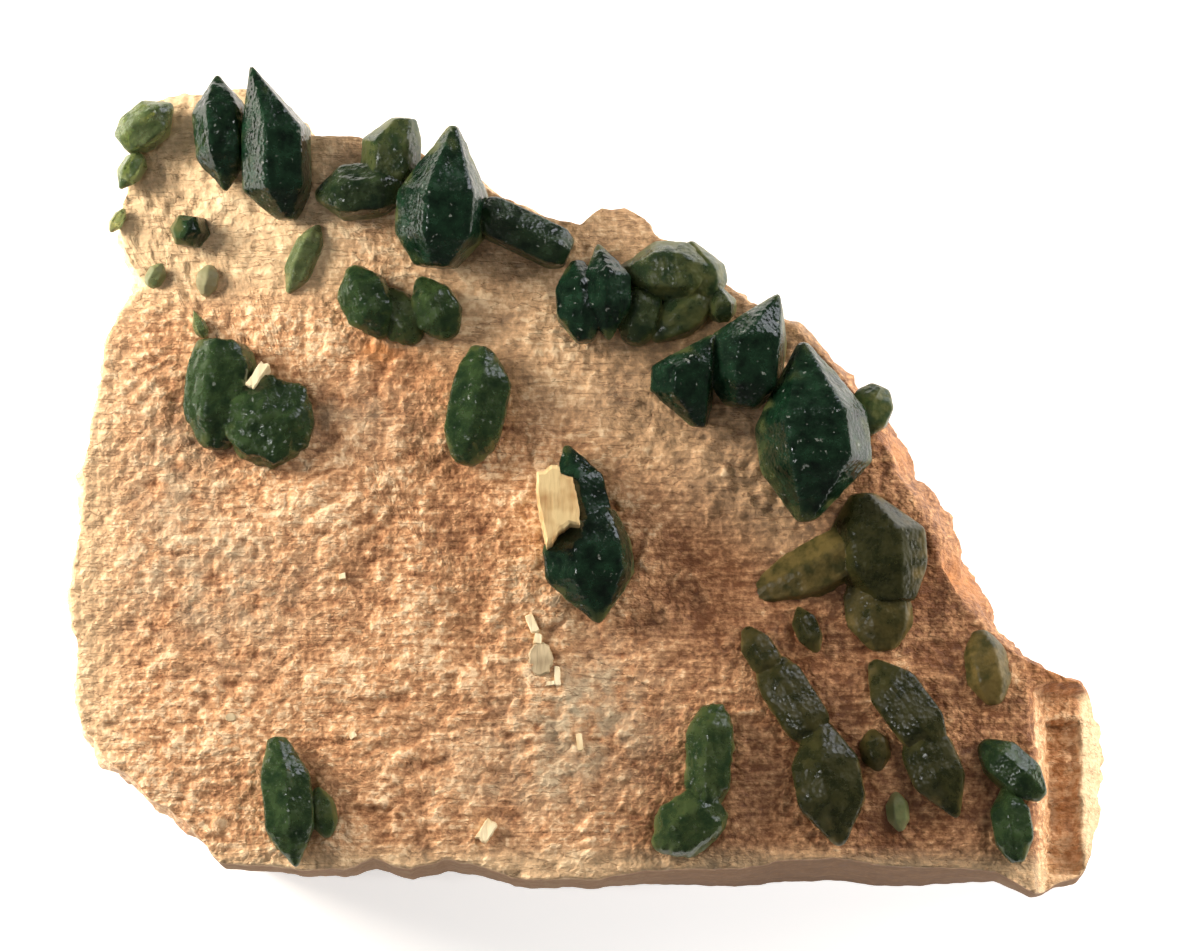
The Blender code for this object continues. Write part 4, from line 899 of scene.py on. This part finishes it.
def buildFlakes(name, rows, corners):
    # flakes joined in one mesh: each outline is an oval drawn with only a few corners, at
    # length and width over 1.6 times the cosine and sine
    allPoints, allFaces = [], []
    for number, (x, y, length, width, turn, height) in enumerate(rows):
        angle = (np.arange(corners) + 0.5) * math.tau / corners
        oval = np.column_stack([length * np.cos(angle), width * np.sin(angle), 0.0 * angle]) / 1.6
        outline = (oval @ turning(2, turn).T)[:, :2] + (x, y)
        ground = float(faceHeight(x, y))
        points, faces = plateSurface(outline, ground - plates["flakeSink"], ground + height,
                                     plates["flakeLean"], plates["flakeWander"], 320 + number)
        start = sum(len(part) for part in allPoints)
        allPoints.append(points)
        allFaces += [tuple(start + corner for corner in face) for face in faces]
    return meshObject(name, np.concatenate(allPoints), allFaces, flat=True)


def cleavedPlate(tone):
    # cream feldspar, cleaved: satin, with fine lines along the cleavage
    dark, light = plates["tones"][tone]
    material, tree = newMaterial(tone)
    place = addNode(tree, "TexCoord").outputs["Object"]
    lines = addNode(tree, "Mapping", {
        "Vector": place, "Rotation": (0.0, 0.0, math.radians(plates["lineTurn"])),
        "Scale": [perMillimetre(size) for size in plates["lineSize"]]}).outputs["Vector"]
    streaks = addNode(tree, "TexNoise", {"Vector": lines, "Scale": 1.0, "Detail": 4.0}).outputs["Fac"]
    blots = addNode(tree, "TexNoise", {
        "Vector": place, "Scale": perMillimetre(plates["blotSize"])}).outputs["Fac"]
    level = addNode(tree, "Math", {0: streaks, 1: 0.4, 2: blots}, operation="MULTIPLY_ADD").outputs[0]
    ramp = addNode(tree, "ValToRGB", {"Fac": level})
    stops = ramp.color_ramp.elements
    stops[0].position, stops[0].color = 0.5, toLinear(dark)
    stops[1].position, stops[1].color = 0.85, toLinear(light)
    bump = addNode(tree, "Bump", {
        "Strength": 1.0, "Distance": plates["lineHeight"] * mm, "Height": streaks})
    shader = addNode(tree, "BsdfPrincipled", {
        "Base Color": ramp.outputs["Color"], "Roughness": 0.5, "IOR": 1.53,
        "Normal": bump.outputs["Normal"]})
    addNode(tree, "OutputMaterial", {"Surface": shader.outputs["BSDF"]})
    return material


# the floor, the lights and the camera; places and sizes in mm, angles in degrees
studio = {
    "floorReach": 3000.0, "floorColour": "#eeedeb",
    "fibreSize": 0.8, "fibreHeight": 0.05,
    "floorGlow": (-90.0, 90.0, 0.4, 0.95),   # x where the floor's own light starts and ends, strengths
    "target": (2.045, 0.195, 24.0), "distance": 900.0, "tilt": 12.0, "lens": 200.0,
    "world": "#f2efe8",
    "band": (0.2, 0.7, 0.11, 0.07),   # sine of the elevation where it fades, and its two strengths
    "key": {"at": (-430, 150, 175), "size": 230, "watts": 5.2, "colour": "#fff6ea"},
    "fill": {"at": (520, 300, 480), "size": 380, "watts": 1.7, "colour": "#fff3e2"},
    "front": {"at": (-160, -560, 620), "size": 300, "watts": 0.6, "colour": "#ffffff"},
    "right": {"at": (540, 80, 75), "size": 260, "watts": 3.6, "colour": "#fff6e8"},
    "back": {"at": (380, 420, 230), "size": 260, "watts": 0.7, "colour": "#f4f6ff", "mirrored": True},
    "spark": {"at": (130, 420, 800), "size": 40, "watts": 0.1, "colour": "#ffffff", "mirrored": True},
    "glint": {"at": (-380, -160, 760), "size": 70, "watts": 0.6, "colour": "#ffffff", "mirrored": True},
}


def addLight(name, at, size, watts, colour, mirrored=False):
    # a square soft lamp that faces the origin
    data = bpy.data.lights.new(name, "AREA")
    data.shape, data.size, data.energy, data.color = "SQUARE", size * mm, watts, toLinear(colour)[:3]
    lamp = bpy.data.objects.new(name, data)
    bpy.context.scene.collection.objects.link(lamp)
    lamp.location = [value * mm for value in at]
    away = lamp.location.normalized()
    lamp.rotation_euler = away.to_track_quat("Z", "Y").to_euler()
    lamp.visible_glossy = lamp.visible_transmission = mirrored   # or the crystals' faces would glare


def buildStudio():
    # pale paper floor, a sky that is brighter near the horizon, the lamps and the camera
    reach = studio["floorReach"]
    corners = reach * np.array([[-1.0, -1.0, 0.0], [1.0, -1.0, 0.0], [1.0, 1.0, 0.0], [-1.0, 1.0, 0.0]])
    floor = meshObject("floor", corners + footprintCentre, [(0, 1, 2, 3)], flat=True)
    material, tree = newMaterial("floorPaper")
    place = addNode(tree, "TexCoord").outputs["Object"]
    fibres = addNode(tree, "TexNoise", {
        "Vector": place, "Scale": perMillimetre(studio["fibreSize"]), "Detail": 3.0})
    across = addNode(tree, "SeparateXYZ", {"Vector": place}).outputs["X"]
    low, high, weak, strong = studio["floorGlow"]
    glow = addNode(tree, "MapRange", {
        "Value": across, "From Min": low * mm, "From Max": high * mm, "To Min": weak, "To Max": strong})
    bump = addNode(tree, "Bump", {
        "Strength": 0.15, "Distance": studio["fibreHeight"] * mm, "Height": fibres.outputs["Fac"]})
    shader = addNode(tree, "BsdfPrincipled", {
        "Base Color": toLinear(studio["floorColour"]), "Roughness": 0.9, "Normal": bump.outputs["Normal"],
        "Emission Color": (1.0, 1.0, 1.0, 1.0), "Emission Strength": glow.outputs["Result"]})
    addNode(tree, "OutputMaterial", {"Surface": shader.outputs["BSDF"]})
    wearMaterial(floor, material)
    world = bpy.data.worlds.new("studio")
    bpy.context.scene.world = world
    world.use_nodes = True
    sky = world.node_tree
    way = addNode(sky, "TexCoord").outputs["Generated"]
    height = addNode(sky, "SeparateXYZ", {"Vector": way}).outputs["Z"]
    low, high, atHorizon, overhead = studio["band"]
    band = addNode(sky, "MapRange", {
        "Value": height, "From Min": low, "From Max": high, "To Min": atHorizon, "To Max": overhead},
        interpolation_type="SMOOTHSTEP")
    background = sky.nodes["Background"]
    background.inputs["Color"].default_value = toLinear(studio["world"])
    sky.links.new(band.outputs["Result"], background.inputs["Strength"])
    for name in ("key", "fill", "front", "right", "back", "spark", "glint"):
        addLight(name, **studio[name])
    camera = bpy.data.objects.new("camera", bpy.data.cameras.new("camera"))
    bpy.context.scene.collection.objects.link(camera)
    camera.data.lens = studio["lens"]
    camera.data.clip_start, camera.data.clip_end = 0.01, 20.0
    tilt = math.radians(studio["tilt"])
    x, y, z = studio["target"]
    camera.location = [x * mm, (y - studio["distance"] * math.sin(tilt)) * mm,
                       (z + studio["distance"] * math.cos(tilt)) * mm]
    camera.rotation_euler = (tilt, 0.0, 0.0)
    bpy.context.scene.camera = camera
    bpy.context.scene.view_settings.view_transform = "Standard"


buildStudio()
print("studio ready")

rock = buildSlab()
wearMaterial(rock, cleavedFeldspar())
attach(rock, "root")
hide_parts("matrix")
print("slab built:", len(rock.data.polygons), "faces")

glass = {tone: grownApatite(tone) for tone in tones}
chance = random.Random(growth["seed"])
for number, (name, (node, tone, members)) in enumerate(crystals.items()):
    piece = buildCrystals(name, members, chance, number)
    wearMaterial(piece, glass[tone])
    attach(piece, "root")
    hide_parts(node)
print("crystals built:", len(crystals), "pieces")

blade = buildBlade()
wearMaterial(blade, cleavedPlate("creamFeldspar"))
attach(blade, "root")
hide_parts("feldspar_blade")
for name, rows, corners, tone in (("creamFlakes", plates["flakes"], 4, "paleFlake"),
                                  ("greyOvals", plates["ovals"], 12, "greyFlake")):
    piece = buildFlakes(name, rows, corners)
    wearMaterial(piece, cleavedPlate(tone))
    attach(piece, "root")
print("blade and flakes built")
